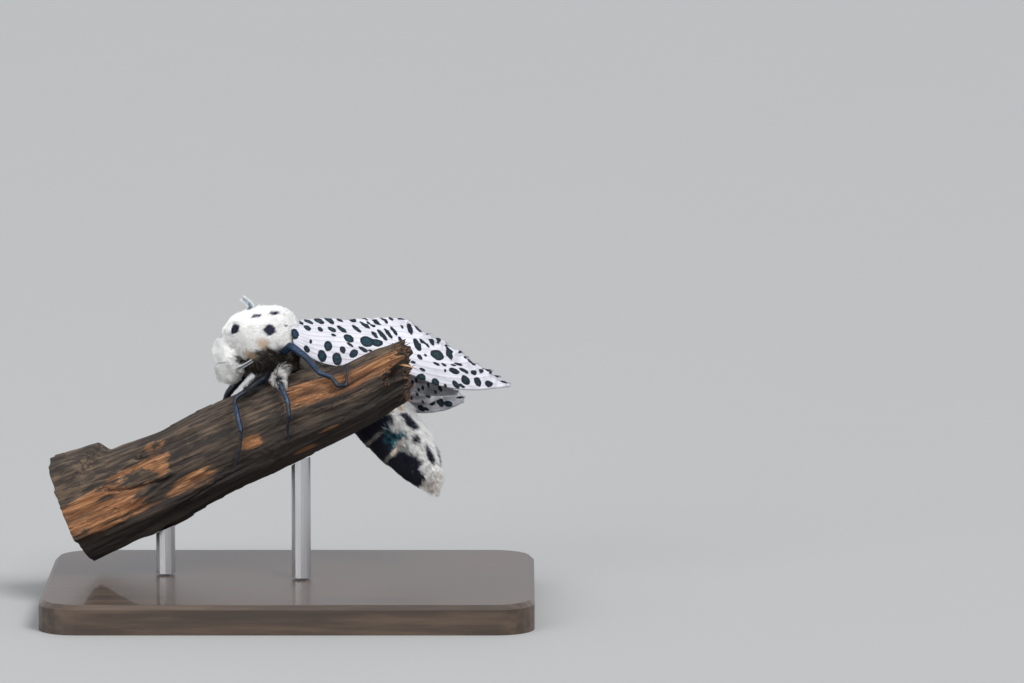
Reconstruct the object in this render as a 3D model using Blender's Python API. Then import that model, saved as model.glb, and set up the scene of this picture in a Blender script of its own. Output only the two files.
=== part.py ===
"""Leopard moth at rest on the broken tip of a branch, life size, on a display stand.

X runs along the branch towards its broken tip, Z is up, and the moth's left side faces -Y.
The origin is the middle of the stand's underside. Every size and place below is in
millimetres and is turned into metres where a mesh is made.
"""

import math
import random

import bpy
import bmesh
import numpy as np

MM = 0.001

# What touches or grows from a neighbour stops this far from it.
GAP = 0.3
# A grown form is pushed out square to its line, so it grows more than the gap where it tapers.
CLEAR = 1.4

# Stand
BASE_LENGTH = 66.0
BASE_WIDTH = 44.0
BASE_HEIGHT = 4.0
BASE_CORNER = 5.0
BASE_EDGE = 0.6
ROD_RADIUS = 1.3
ROD_SIDES = 20
ROD_X = {"stand_rod_left": -17.0, "stand_rod_right": 1.5}

# Branch: centre line x, y, z and radius, from the sawn end to the broken tip
BRANCH = (
    (-29.0, 4.0, 11.9, 6.7),
    (-17.4, 1.8, 17.1, 6.1),
    (-9.2, 0.3, 21.4, 5.9),
    (-3.0, -0.8, 24.5, 5.7),
    (2.7, -1.9, 26.9, 5.1),
    (7.8, -2.9, 28.8, 4.3),
    (13.0, -3.8, 31.7, 3.95),
    (15.1, -4.3, 32.8, 3.8),
)
BRANCH_STATIONS = 34
BRANCH_SIDES = 26
# The torn face has one more ring, at this share of the way from its middle to its rim.
TORN_SHARE = 0.6

# Coat: the core lies this far under the tips, and the roots of the locks this far under the core
COAT_DEPTH = 0.7
LOCK_ROOT = 0.45
LOCK_THICKNESS = 0.28
LOCK_SEED = 11

# Thorax with its coat: centre line x, y, z and radius, from the collar to the waist
THORAX = (
    (-9.0, 1.5, 37.2, 0.9),
    (-8.3, 1.6, 37.0, 2.2),
    (-6.9, 1.7, 36.6, 3.4),
    (-5.1, 2.0, 36.0, 4.7),
    (-3.0, 2.6, 35.5, 5.3),
    (-1.2, 3.0, 35.4, 5.3),
    (0.0, 3.3, 35.3, 4.6),
    (0.8, 3.5, 35.25, 3.4),
    (1.3, 3.6, 35.2, 1.7),
)
THORAX_BELLY = 0.76
THORAX_STATIONS = 13
THORAX_SIDES = 20
# Locks of the thorax: rows along it, locks in a row, how far they reach down each side
THORAX_LOCKS = (6, 8, 2.1)

# Abdomen: centre line x, y, z and radius, from the waist to the tip
ABDOMEN = (
    (0.3, 3.6, 35.0, 3.3),
    (1.7, 4.4, 34.2, 3.6),
    (3.8, 5.9, 32.4, 4.0),
    (7.4, 7.5, 29.4, 4.3),
    (10.8, 7.6, 26.1, 4.35),
    (14.0, 7.3, 22.4, 4.1),
    (16.2, 6.5, 19.9, 3.6),
    (17.7, 5.7, 17.8, 2.8),
    (18.8, 5.1, 16.1, 1.9),
    (19.4, 4.6, 14.5, 0.7),
)
ABDOMEN_UP = (0.35, 0.0, 1.0)
# Segments in the whole abdomen, how far each steps down to the next as a share of the radius,
# rings within one segment, and the segments from which to which each length runs
ABDOMEN_SEGMENTS = 8.0
ABDOMEN_STEP = 0.045
SEGMENT_RINGS = (0.0, 0.4, 0.8, 0.97)
ABDOMEN_NODES = {"abdomen_front": (0.0, 3.0), "abdomen_middle": (3.0, 5.0), "abdomen_rear": (5.0, 8.0)}
ABDOMEN_SIDES = 22
# The lengths stand further apart on the line than at the inside of its bend.
ABDOMEN_BEND = 1.4
# Hair along the back: locks in a row, reach down each side, first haired segment, length of a
# lock along the line; and the tuft round the tip
ABDOMEN_LOCKS = (5, 1.0, 2.0, 0.1)
TAIL_LOCKS = 8

# Head with its coat: centre line x, y, z and radius, from the chin up to the crown
HEAD = (
    (-8.15, 0.0, 30.25, 0.9),
    (-8.15, 0.1, 30.6, 1.55),
    (-8.2, 0.3, 31.3, 1.9),
    (-8.2, 0.5, 32.2, 2.0),
    (-8.2, 0.7, 33.2, 1.85),
    (-8.25, 0.9, 34.0, 2.05),
    (-8.25, 1.1, 34.9, 2.2),
    (-8.1, 1.2, 35.7, 1.85),
    (-8.0, 1.3, 36.4, 0.8),
)
HEAD_UP = (-1.0, -0.35, 0.0)
HEAD_STATIONS = 12
HEAD_SIDES = 16
HEAD_LOCKS = (4, 6, 1.25)
EYE_RADIUS = 0.75
EYES = {"eye_left": (-6.9, -0.7, 33.9), "eye_right": (-8.2, 2.95, 33.9)}

# Forewings: leading and hind edge from root to tip; the veins fan out between them
FOREWING_LEFT_LEAD = (
    (-0.4, -1.6, 36.5), (1.4, -2.0, 35.3), (3.9, -1.2, 33.6), (7.4, 0.1, 32.6), (11.5, 1.4, 32.0),
    (15.8, 2.4, 31.4), (20.2, 3.1, 29.7), (25.0, 3.5, 29.0), (29.6, 4.0, 29.4),
)
FOREWING_LEFT_HIND = (
    (-0.3, 0.1, 38.6), (1.2, 3.7, 38.5), (3.4, 6.4, 38.2), (7.4, 8.3, 37.9), (11.5, 9.3, 37.7),
    (14.7, 9.9, 37.5),
)
FOREWING_RIGHT_LEAD = (
    (0.0, 9.7, 34.0), (3.8, 11.9, 30.8), (7.4, 13.6, 28.3), (12.8, 15.0, 25.3), (17.3, 16.0, 24.0),
    (20.9, 16.8, 24.3), (23.2, 17.2, 25.2),
)
FOREWING_RIGHT_HIND = (
    (0.0, 8.6, 37.0), (1.5, 7.6, 37.5), (3.4, 7.9, 37.3), (7.4, 9.6, 37.0), (11.5, 10.7, 36.8),
    (14.4, 11.2, 36.6),
)
# Hindwings, tucked between the forewings and the abdomen
HINDWING_LEFT_LEAD = (
    (0.9, -0.2, 35.3), (4.7, 1.5, 33.2), (9.5, 3.3, 31.0), (14.9, 4.9, 29.2), (19.6, 5.6, 27.9),
    (22.4, 6.0, 28.0),
)
HINDWING_LEFT_HIND = ((1.4, 4.2, 36.9), (4.7, 6.3, 36.5), (8.8, 7.9, 35.9), (12.8, 8.6, 35.1))
HINDWING_RIGHT_LEAD = (
    (0.9, 8.9, 33.8), (4.7, 11.1, 30.4), (8.8, 12.9, 27.5), (14.2, 14.0, 25.8), (18.2, 14.8, 25.4),
    (20.2, 15.2, 26.1),
)
HINDWING_RIGHT_HIND = ((1.4, 6.4, 36.3), (4.7, 8.2, 35.7), (8.8, 9.5, 35.0), (12.8, 10.2, 34.2))
# Name: edges, count of veins, stations from root to tip, side it arches to, height of the arch
LEFT_OUT = (0.0, -0.75, 0.66)
RIGHT_OUT = (0.0, 0.75, 0.66)
WINGS = {
    "forewing_left": (FOREWING_LEFT_LEAD, FOREWING_LEFT_HIND, 11, 13, LEFT_OUT, 0.2),
    "forewing_right": (FOREWING_RIGHT_LEAD, FOREWING_RIGHT_HIND, 11, 12, RIGHT_OUT, 0.12),
    "hindwing_left": (HINDWING_LEFT_LEAD, HINDWING_LEFT_HIND, 8, 9, LEFT_OUT, 0.12),
    "hindwing_right": (HINDWING_RIGHT_LEAD, HINDWING_RIGHT_HIND, 8, 8, RIGHT_OUT, 0.06),
}
WING_THICKNESS = 0.5
VEIN_HEIGHT = 0.18
WING_SCALLOP = 0.008
# The arch dies away towards the outer edge by this share.
WING_FLATTEN = 0.8

# Feelers: one is laid back along the face, one stands up behind the collar; x, y, z, radius
FEELER_LEFT = (
    (-7.3, -0.8, 32.4, 0.42), (-5.9, -2.9, 33.4, 0.34), (-4.9, -3.6, 34.1, 0.3), (-3.4, -3.7, 34.8, 0.2),
)
FEELER_RIGHT = (
    (-8.4, 2.4, 35.3, 0.5), (-8.2, 5.4, 36.6, 0.48), (-7.0, 6.5, 38.0, 0.46), (-5.9, 6.5, 39.2, 0.42),
    (-5.5, 6.0, 40.1, 0.34), (-6.5, 5.5, 41.3, 0.2),
)
FEELERS = {"antenna_left": FEELER_LEFT, "antenna_right": FEELER_RIGHT}

# Legs: radius along the whole leg, thick at the thigh, with a knee, a spurred shin and a slim foot
LEG_RADII = (
    (0.0, 0.78), (0.28, 0.72), (0.4, 0.5), (0.5, 0.58), (0.66, 0.52), (0.72, 0.4), (0.8, 0.37), (1.0, 0.24),
)
# The free points near the body are x, y, z; those on the wood are x, turn about the branch in
# degrees (0 is the top, + towards -Y) and height above the wood
LEGS = {
    "foreleg_left": (
        ((-3.6, 0.4, 33.6), (-3.2, -1.0, 31.6)),
        ((-5.0, 24.0, 1.1), (-7.3, 37.0, 1.4), (-6.9, 58.0, 1.0), (-6.3, 79.0, 0.85), (-6.5, 96.0, 0.75),
         (-7.3, 112.0, 0.75)),
    ),
    "foreleg_right": (
        ((-5.6, 2.9, 33.0), (-6.0, 3.6, 31.6)),
        ((-8.6, -34.0, 1.5), (-9.4, -52.0, 1.2), (-9.0, -74.0, 0.9), (-9.2, -92.0, 0.8), (-9.8, -108.0, 0.7)),
    ),
    "midleg_left": (
        ((-0.6, 0.8, 33.0), (-1.5, -2.6, 31.9)),
        ((-1.1, 44.0, 1.7), (-0.1, 66.0, 1.1), (0.2, 84.0, 0.9), (-0.1, 98.0, 0.8), (0.1, 112.0, 0.7)),
    ),
    "midleg_right": (
        ((-3.8, 3.9, 32.8), (-3.8, 4.6, 31.0)),
        ((-5.2, -52.0, 1.3), (-5.2, -74.0, 1.0), (-5.5, -92.0, 0.85), (-5.8, -108.0, 0.7)),
    ),
    "hindleg_left": (
        ((-1.4, 1.8, 34.6), (-0.6, -2.2, 35.2), (0.3, -3.7, 36.1), (2.4, -4.8, 34.7)),
        ((4.3, 42.0, 1.6), (5.7, 47.0, 1.1), (6.7, 62.0, 0.9), (7.8, 66.0, 0.8), (7.9, 44.0, 0.75),
         (7.8, 24.0, 0.7)),
    ),
    "hindleg_right": (
        ((-1.0, 4.4, 32.4), (-1.2, 5.4, 30.6)),
        ((-1.2, -66.0, 1.7), (-0.4, -84.0, 1.05), (-0.6, -98.0, 0.85), (-0.8, -112.0, 0.7)),
    ),
}
LEG_SIDES = 7
LEG_STATIONS = 21
FINE = 240


def curve(points, count):
    """Points spread evenly along the smooth Catmull-Rom curve through the given ones."""
    knots = np.asarray(points, float)
    steps = np.linalg.norm(np.diff(knots[:, :3], axis=0), axis=1)
    at = np.concatenate([[0.0], np.cumsum(steps)]) / steps.sum()
    slope = np.gradient(knots, at, axis=0)
    where = np.linspace(0.0, 1.0, count)
    i = np.clip(np.searchsorted(at, where, side="right") - 1, 0, len(at) - 2)
    width = (at[i + 1] - at[i])[:, None]
    t = ((where - at[i])[:, None]) / width
    first = (2 * t**3 - 3 * t**2 + 1) * knots[i] + (t**3 - 2 * t**2 + t) * width * slope[i]
    second = (3 * t**2 - 2 * t**3) * knots[i + 1] + (t**3 - t**2) * width * slope[i + 1]
    return first + second


def unit(vectors):
    """The same vectors, one unit long."""
    return vectors / np.maximum(np.linalg.norm(vectors, axis=-1, keepdims=True), 1e-9)


def smooth(low, high, value):
    """A soft step from 0 at low to 1 at high."""
    t = np.clip((value - low) / (high - low), 0.0, 1.0)
    return t * t * (3.0 - 2.0 * t)


def frames(centres, up=(0.0, 0.0, 1.0)):
    """Along, across and up directions at each centre; across points to the moth's left."""
    along = unit(np.gradient(centres, axis=0))
    across = unit(np.cross(np.broadcast_to(np.asarray(up, float), along.shape), along)) * -1.0
    return along, across, unit(np.cross(along, across)) * -1.0


def material(name, colour, roughness, metallic=0.0):
    """A plain Principled material of the part's own colour."""
    made = bpy.data.materials.new(name)
    made.use_nodes = True
    shader = made.node_tree.nodes["Principled BSDF"]
    shader.inputs["Base Color"].default_value = (*colour, 1.0)
    shader.inputs["Roughness"].default_value = roughness
    shader.inputs["Metallic"].default_value = metallic
    made.diffuse_color = (*colour, 1.0)
    return made


def add_object(name, points, faces, finish):
    """An object from points in millimetres, its faces turned to point outwards."""
    mesh = bpy.data.meshes.new(name)
    mesh.from_pydata((np.asarray(points, float) * MM).tolist(), [], faces)
    shape = bmesh.new()
    shape.from_mesh(mesh)
    if shape.calc_volume(signed=True) < 0.0:
        bmesh.ops.reverse_faces(shape, faces=shape.faces[:])
    shape.to_mesh(mesh)
    shape.free()
    mesh.shade_smooth()
    mesh.set_sharp_from_angle(angle=math.radians(50.0))
    mesh.materials.append(finish)
    made = bpy.data.objects.new(name, mesh)
    bpy.context.scene.collection.objects.link(made)
    return made


def skin_rings(rings):
    """Points and faces of a closed form through rings of points, with a fan at each end."""
    count, sides, _ = rings.shape
    points = np.concatenate([rings.reshape(-1, 3), rings[:1].mean(axis=1), rings[-1:].mean(axis=1)])
    faces = []
    for i in range(count - 1):
        for j in range(sides):
            k = (j + 1) % sides
            faces.append((i * sides + j, i * sides + k, (i + 1) * sides + k, (i + 1) * sides + j))
    last = (count - 1) * sides
    for j in range(sides):
        k = (j + 1) % sides
        faces.append((k, j, count * sides))
        faces.append((last + j, last + k, count * sides + 1))
    return points, faces


def skin_plate(upper, lower):
    """Points and faces of a thin plate, both sides split into triangles the same way."""
    rows, columns, _ = upper.shape
    points = np.concatenate([upper.reshape(-1, 3), lower.reshape(-1, 3)])
    below = rows * columns
    faces = []
    for i in range(rows - 1):
        for j in range(columns - 1):
            a = i * columns + j
            b, c, d = a + 1, a + columns + 1, a + columns
            faces += [(a, b, c), (a, c, d)]
            faces += [(below + a, below + c, below + b), (below + a, below + d, below + c)]
    rim = [j for j in range(columns)]
    rim += [i * columns + columns - 1 for i in range(1, rows)]
    rim += [(rows - 1) * columns + j for j in range(columns - 2, -1, -1)]
    rim += [i * columns for i in range(rows - 2, 0, -1)]
    for a, b in zip(rim, rim[1:] + rim[:1]):
        faces += [(b, a, below + a), (b, below + a, below + b)]
    return points, faces


def cut_away(target, cutters):
    """The target with each cutter's shape taken from it, keeping its largest closed body."""
    for cutter in cutters:
        cutter.hide_render = True
        cutter.display_type = "WIRE"
        modifier = target.modifiers.new("cut", "BOOLEAN")
        modifier.operation = "DIFFERENCE"
        modifier.solver = "EXACT"
        modifier.object = cutter
    keep_largest(target)


def keep_largest(target):
    """Apply the modifiers and keep the largest of the closed surfaces that result."""
    depsgraph = bpy.context.evaluated_depsgraph_get()
    mesh = bpy.data.meshes.new_from_object(target.evaluated_get(depsgraph))
    target.modifiers.clear()
    shape = bmesh.new()
    shape.from_mesh(mesh)
    groups = []
    left = set(shape.verts)
    while left:
        group = {left.pop()}
        edge = list(group)
        while edge:
            around = {link.other_vert(v) for v in edge for link in v.link_edges} - group
            group |= around
            edge = list(around)
        left -= group
        groups.append(group)
    groups.sort(key=len)
    for group in groups[:-1]:
        bmesh.ops.delete(shape, geom=list(group), context="VERTS")
    shape.to_mesh(mesh)
    shape.free()
    target.data = mesh


def remove(objects):
    """Take cutters and joined pieces out of the scene."""
    for each in objects:
        bpy.data.objects.remove(each)


def form_about(stations, up=(0.0, 0.0, 1.0), relief=None):
    """A rounded form about a centre line, as a function of station, turn and height.

    The station runs from 0 to 1 along the line, the turn is in radians about it (0 is up, and +
    to the moth's left), and the height is measured from the radius, which relief may scale.
    """
    line = curve(stations, FINE)
    _, across, upward = frames(line[:, :3], up)
    fine = np.linspace(0.0, 1.0, FINE)

    def point(station, turn, height):
        station, turn, height = np.broadcast_arrays(station, turn, height)
        pick = lambda table: np.stack([np.interp(station, fine, column) for column in table.T], -1)
        centre = pick(line)
        factor = relief(station, turn, centre[..., 0]) if relief else 1.0
        side = unit(pick(across)) * np.sin(turn)[..., None] + unit(pick(upward)) * np.cos(turn)[..., None]
        return centre[..., :3] + side * (centre[..., 3] * factor + height)[..., None]

    return point


def rings_of(form, first, last, count, sides, height=0.0):
    """Rings of a form between two of its stations."""
    station = np.linspace(first, last, count)[:, None]
    turn = np.linspace(-math.pi, math.pi, sides, endpoint=False)[None, :]
    return form(station, turn, height)


def branch_relief(station, turn, x):
    """Radius factor of the weathered wood about its centre line.

    Long ridges run down the branch; a second layer lies on the top of its sawn half and ends in
    a step; a raised plank runs along the near side by the tip; a split and a pit open on that side.
    """
    ridges = 0.035 * np.cos(3.0 * turn + 2.2 * station) + 0.02 * np.cos(7.0 * turn - 5.0 * station)
    ridges = ridges + 0.012 * np.cos(13.0 * turn + 9.0 * station)
    layer_edge = -24.5 + 2.0 * np.cos(3.0 * turn)
    layer = 0.22 * smooth(0.75, 0.45, np.abs(turn - 0.1)) * smooth(layer_edge + 0.7, layer_edge - 0.7, x)
    plank = 0.1 * smooth(0.5, 0.75, turn) * smooth(1.75, 1.5, turn) * smooth(0.3, 1.5, x)
    plank = plank * smooth(8.6, 7.4, x)
    split = -0.09 * smooth(0.2, 0.05, np.abs(turn - 2.0 + 0.5 * station)) * smooth(-23.0, -20.0, x)
    split = split * smooth(-8.0, -11.0, x)
    pit = -0.13 * np.exp(-(((turn - 1.1) / 0.2) ** 2) - ((x + 19.4) / 1.3) ** 2)
    return 1.0 + ridges + layer + plank + split + pit


def thorax_relief(station, turn, x):
    """The thorax is flatter below than above."""
    return np.where(np.cos(turn) < 0.0, 1.0 + (THORAX_BELLY - 1.0) * np.cos(turn) ** 2, 1.0)


def abdomen_relief(station, turn, x):
    """Each segment of the abdomen swells towards its hind edge and steps down to the next."""
    along = (station * ABDOMEN_SEGMENTS) % 1.0
    return 1.0 + ABDOMEN_STEP * (along - 0.6)


def on_branch(x, degrees, lift):
    """The point over the wood at a given x, turn in degrees and height."""
    branch = form_about(BRANCH, relief=branch_relief)
    station = np.linspace(0.0, 1.0, FINE)
    turn = math.radians(degrees)
    table = branch(station, turn, lift)
    return branch(np.interp(x, table[:, 0], station), turn, lift)


def torn_beam(turn):
    """1 over the flat-ended beam that makes the near upper side of the torn tip, 0 beside it."""
    return smooth(-0.75, -0.3, turn) * smooth(1.35, 1.05, turn)


def torn_face(turn, share):
    """How far the torn face runs past the line's end, at a share of the way from middle to rim.

    The rim has the beam, a notch, a ragged lobe and a splinter at the back. The face is flat over
    the beam, ends beneath it, and sinks towards the middle elsewhere.
    """
    beam = torn_beam(turn)
    lobe = smooth(1.65, 1.95, turn) * smooth(2.6, 2.3, turn)
    back = np.exp(-(((turn + 1.7) / 0.4) ** 2))
    rim = beam * (3.4 + 0.5 * turn) + 2.6 * lobe + 1.6 * back - 1.2
    rim = rim + 0.3 * np.cos(9.0 * turn + 1.0) + 0.2 * np.cos(5.0 * turn)
    return beam * rim * smooth(0.15, 0.45, share) + (1.0 - beam) * (rim * share - 1.6 * (1.0 - share))


def branch_rings(lift=0.0):
    """Rings of the branch; those at the tip are pulled along it to the torn face."""
    branch = form_about(BRANCH, relief=branch_relief)
    rings = rings_of(branch, 0.0, 1.0, BRANCH_STATIONS, BRANCH_SIDES, lift)
    turn = np.linspace(-math.pi, math.pi, BRANCH_SIDES, endpoint=False)
    station = np.linspace(0.0, 1.0, BRANCH_STATIONS)
    line = curve(BRANCH, BRANCH_STATIONS)[:, :3]
    along = frames(line)[0]
    inner = line[-1] + (rings[-1] - line[-1]) * TORN_SHARE
    inner = inner + along[-1] * (torn_face(turn, TORN_SHARE) + lift)[:, None]
    pull = smooth(0.86, 1.0, station)[:, None] * torn_face(turn, 1.0)[None, :]
    pull = pull + (lift * smooth(0.9, 1.0, station))[:, None]
    return np.concatenate([rings + along[:, None, :] * pull[..., None], inner[None]])


def make_branch(finish):
    """The cut length of branch that the moth grips."""
    return add_object("perch_branch", *skin_rings(branch_rings()), finish)


def make_stand(base_finish, rod_finish):
    """A flat base with rounded corners, and two rods up to the underside of the branch."""
    outline = []
    middle = np.array([BASE_LENGTH / 2 - BASE_CORNER, BASE_WIDTH / 2 - BASE_CORNER])
    for quarter, corner in enumerate(((1, 1), (-1, 1), (-1, -1), (1, -1))):
        for angle in np.linspace(0.0, math.pi / 2, 7) + quarter * math.pi / 2:
            outline.append(middle * corner + BASE_CORNER * np.array([math.cos(angle), math.sin(angle)]))
    outline = np.array(outline)
    rings = []
    for z, inset in ((0.0, 0.0), (BASE_HEIGHT - BASE_EDGE, 0.0), (BASE_HEIGHT, BASE_EDGE)):
        scale = 1.0 - inset / np.array([BASE_LENGTH / 2, BASE_WIDTH / 2])
        rings.append(np.column_stack([outline * scale, np.full(len(outline), z)]))
    add_object("stand_base", *skin_rings(np.array(rings)), base_finish)
    clear = add_object("branch_clearance", *skin_rings(branch_rings(GAP * CLEAR)), rod_finish)
    line = curve(BRANCH, FINE)
    angle = np.linspace(0.0, 2.0 * math.pi, ROD_SIDES, endpoint=False)
    for name, x in ROD_X.items():
        y, top = (float(np.interp(x, line[:, 0], line[:, k])) for k in (1, 2))
        circle = np.column_stack([x + ROD_RADIUS * np.cos(angle), y + ROD_RADIUS * np.sin(angle)])
        rings = [np.column_stack([circle, np.full(ROD_SIDES, z)]) for z in (BASE_HEIGHT + GAP, top)]
        cut_away(add_object(name, *skin_rings(np.array(rings)), rod_finish), [clear])
    remove([clear])


def lock(form, station, turn, length, half_width, tip_turn):
    """Points and faces of one tapered lock that lies along a form, its root sunk in the core.

    Three four-sided sections and a point follow the form from the root's station on; they rise
    from under the core to the outline of the coat and dip again at the tip.
    """
    run = np.array([0.0, 0.4, 0.75, 1.0])
    height = np.array([-COAT_DEPTH - LOCK_ROOT, -0.42, -0.22, -0.34])
    wide = half_width * np.array([0.75, 1.0, 0.7, 0.0])
    thick = LOCK_THICKNESS * np.array([1.0, 1.0, 0.75, 0.0])
    side = np.array([-1.0, 0.0, 1.0, 0.0])
    rise = np.array([0.0, 1.0, 0.0, -1.0])
    stations = (station + length * run)[:, None]
    turns = turn + (tip_turn - turn) * run[:, None] ** 2 + wide[:, None] * side[None, :]
    points = form(stations, turns, height[:, None] + thick[:, None] * rise[None, :])
    faces = [(3, 2, 1, 0)]
    for k in (0, 4):
        faces += [(k + j, k + (j + 1) % 4, k + 4 + (j + 1) % 4, k + 4 + j) for j in range(4)]
    faces += [(8 + j, 8 + (j + 1) % 4, 12) for j in range(4)]
    return points.reshape(-1, 3)[:13], faces


def coat(form, rows, per_row, spread, first, last, length, finish, draw):
    """Locks in staggered rows over the upper side of a form, from station first to last."""
    made = []
    step = 2.0 * spread / per_row
    for row in range(rows):
        station = first + (last - first) * row / max(rows - 1, 1)
        for k in range(per_row + row % 2):
            turn = -spread + step * (k + 0.5 - 0.5 * (row % 2)) + draw.uniform(-0.06, 0.06)
            reach = length * draw.uniform(0.85, 1.1)
            tip = turn * draw.uniform(0.93, 1.03)
            shape = lock(form, station + draw.uniform(-0.01, 0.01), turn, reach, 0.5 * step, tip)
            made.append(add_object("lock", *shape, finish))
    return made


def make_thorax(finish, draw):
    """The woolly thorax: a core with locks that lie back from the collar to the waist."""
    form = form_about(THORAX, relief=thorax_relief)
    rings = rings_of(form, 0.0, 1.0, THORAX_STATIONS, THORAX_SIDES, -COAT_DEPTH)
    core = add_object("core", *skin_rings(rings), finish)
    rows, per_row, spread = THORAX_LOCKS
    locks = coat(form, rows, per_row, spread, 0.07, 0.66, 0.24, finish, draw)
    join("thorax", [core] + locks, finish)


def thorax_clearance(finish):
    """The thorax out to its tips and grown by the gap, to cut its neighbours with."""
    form = form_about(THORAX, relief=thorax_relief)
    rings = rings_of(form, 0.0, 1.0, 2 * THORAX_STATIONS, THORAX_SIDES, GAP * CLEAR)
    rings[0] -= (rings[1] - rings[0]).mean(axis=0)
    rings[-1] += unit((rings[-1] - rings[-2]).mean(axis=0)) * GAP
    return add_object("thorax_clearance", *skin_rings(rings), finish)


def abdomen_clearance(finish):
    """The whole abdomen grown by the gap, to cut its neighbours with."""
    form = form_about(ABDOMEN, ABDOMEN_UP)
    rings = rings_of(form, 0.0, 0.9, ABDOMEN_SIDES, ABDOMEN_SIDES, 2.0 * GAP)
    rings[0] -= (rings[1] - rings[0]).mean(axis=0)
    return add_object("abdomen_clearance", *skin_rings(rings), finish)


def abdomen_rings(form, first, last, apart):
    """Rings of one length: as deep as the coat along the back, at the full outline elsewhere.

    Each segment has rings of its own, the last of them just before the step to the next one.
    """
    at = [k + ring for k in range(int(first), math.ceil(last)) for ring in SEGMENT_RINGS if k + ring < last]
    station = np.array(at + [last - 0.001]) / ABDOMEN_SEGMENTS
    station[0] += apart if first > 0.0 else 0.0
    station[-1] -= apart
    station = station[station <= station[-1]][:, None]
    turn = np.linspace(-math.pi, math.pi, ABDOMEN_SIDES, endpoint=False)[None, :]
    _, spread, haired, _ = ABDOMEN_LOCKS
    hair = smooth(spread + 0.5, spread, np.abs(turn)) * smooth(1.0, 0.9, station)
    hair = hair * smooth(haired - 0.5, haired, station * ABDOMEN_SEGMENTS)
    return form(station, turn, -COAT_DEPTH * hair)


def make_abdomen(finish, clear, draw):
    """The abdomen in three lengths, with hair along the back and a tuft round the tip."""
    form = form_about(ABDOMEN, ABDOMEN_UP, abdomen_relief)
    length = np.linalg.norm(np.diff(curve(ABDOMEN, FINE)[:, :3], axis=0), axis=1).sum()
    apart = 0.5 * GAP * ABDOMEN_BEND / length
    per_row, spread, haired, reach = ABDOMEN_LOCKS
    for name, (first, last) in ABDOMEN_NODES.items():
        locks = []
        start = max(first, haired)
        begin, end = start / ABDOMEN_SEGMENTS + 0.02, last / ABDOMEN_SEGMENTS - 1.3 * reach
        rows = int(last - start)
        locks = coat(form, rows, per_row, spread, begin, end, reach, finish, draw)
        if name == "abdomen_rear":
            locks += coat(form, 1, TAIL_LOCKS, math.pi, 0.84, 0.84, 0.12, finish, draw)
        core = add_object("core", *skin_rings(abdomen_rings(form, first, last, apart)), finish)
        whole = join(name, [core] + locks, finish)
        if name == "abdomen_front":
            cut_away(whole, [clear])


def wing_surface(lead, hind, rows, columns, out, arch):
    """Middle surface of a wing: rows run out from the root, columns across from the leading edge.

    Each column is a line from root to outer edge, so a vein is one column. The surface arches
    between the two edges towards the out direction, as a roof over the body, and flattens
    towards the outer edge.
    """
    front, back = curve(lead, rows), curve(hind, rows)
    across = np.linspace(0.0, 1.0, columns)[None, :, None]
    flat = front[:, None, :] * (1.0 - across) + back[:, None, :] * across
    spread = np.linalg.norm(back - front, axis=1)[:, None, None]
    station = np.linspace(0.0, 1.0, rows)[:, None, None]
    lift = arch * spread * np.sin(math.pi * across) * (1.0 - WING_FLATTEN * station**1.5)
    return flat + lift * np.asarray(out, float)


def make_wings(finish, clear):
    """Four wings as thin plates whose veins are ridges raised in both of their faces."""
    for name, (lead, hind, veins, rows, out, arch) in WINGS.items():
        columns = 2 * veins + 1
        middle = wing_surface(lead, hind, rows, columns, out, arch)
        on_vein = (np.arange(columns) % 2 == 1).astype(float)[None, :]
        station = np.linspace(0.0, 1.0, rows)[:, None]
        outward = np.gradient(middle, axis=0) * (rows - 1)
        middle = middle + outward * (WING_SCALLOP * on_vein * station**8)[..., None]
        face = unit(np.cross(np.gradient(middle, axis=1), np.gradient(middle, axis=0)))
        raised = VEIN_HEIGHT * on_vein * smooth(1.0, 0.9, station) * smooth(0.0, 0.1, station)
        half = (WING_THICKNESS / 2 + raised)[..., None]
        wing = add_object(name, *skin_plate(middle + face * half, middle - face * half), finish)
        cut_away(wing, clear)


def tube_rings(path, count, sides):
    """Rings of a tapering tube along a path of x, y, z and radius."""
    line = curve(path, count)
    along = unit(np.gradient(line[:, :3], axis=0))
    across = np.zeros_like(along)
    side = unit(np.cross(along[0], (0.3, 0.2, 0.9)))
    for i, forward in enumerate(along):
        side = unit(side - forward * np.dot(side, forward))
        across[i] = side
    other = np.cross(along, across)
    turn = np.linspace(0.0, 2.0 * math.pi, sides, endpoint=False)
    spoke = across[:, None, :] * np.cos(turn)[None, :, None] + other[:, None, :] * np.sin(turn)[None, :, None]
    return line[:, None, :3] + spoke * line[:, 3][:, None, None]


def make_legs(finish, clear):
    """Six legs, each from the thorax down over the side of the branch."""
    for name, (free, gripping) in LEGS.items():
        places = np.array([np.array(place) for place in free] + [on_branch(*place) for place in gripping])
        steps = np.linalg.norm(np.diff(places, axis=0), axis=1)
        at = np.concatenate([[0.0], np.cumsum(steps)]) / steps.sum()
        radii = np.interp(at, *zip(*LEG_RADII))
        rings = tube_rings(np.column_stack([places, radii]), LEG_STATIONS, LEG_SIDES)
        cut_away(add_object(name, *skin_rings(rings), finish), clear)


def join(name, pieces, finish):
    """One closed body from closed pieces that overlap."""
    group = bpy.data.collections.new(name + "_pieces")
    for piece in pieces[1:]:
        group.objects.link(piece)
    modifier = pieces[0].modifiers.new("join", "BOOLEAN")
    modifier.operation = "UNION"
    modifier.solver = "EXACT"
    modifier.operand_type = "COLLECTION"
    modifier.collection = group
    keep_largest(pieces[0])
    remove(pieces[1:])
    bpy.data.collections.remove(group)
    pieces[0].name = name
    pieces[0].data.name = name
    pieces[0].data.materials.clear()
    pieces[0].data.materials.append(finish)
    return pieces[0]


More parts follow.
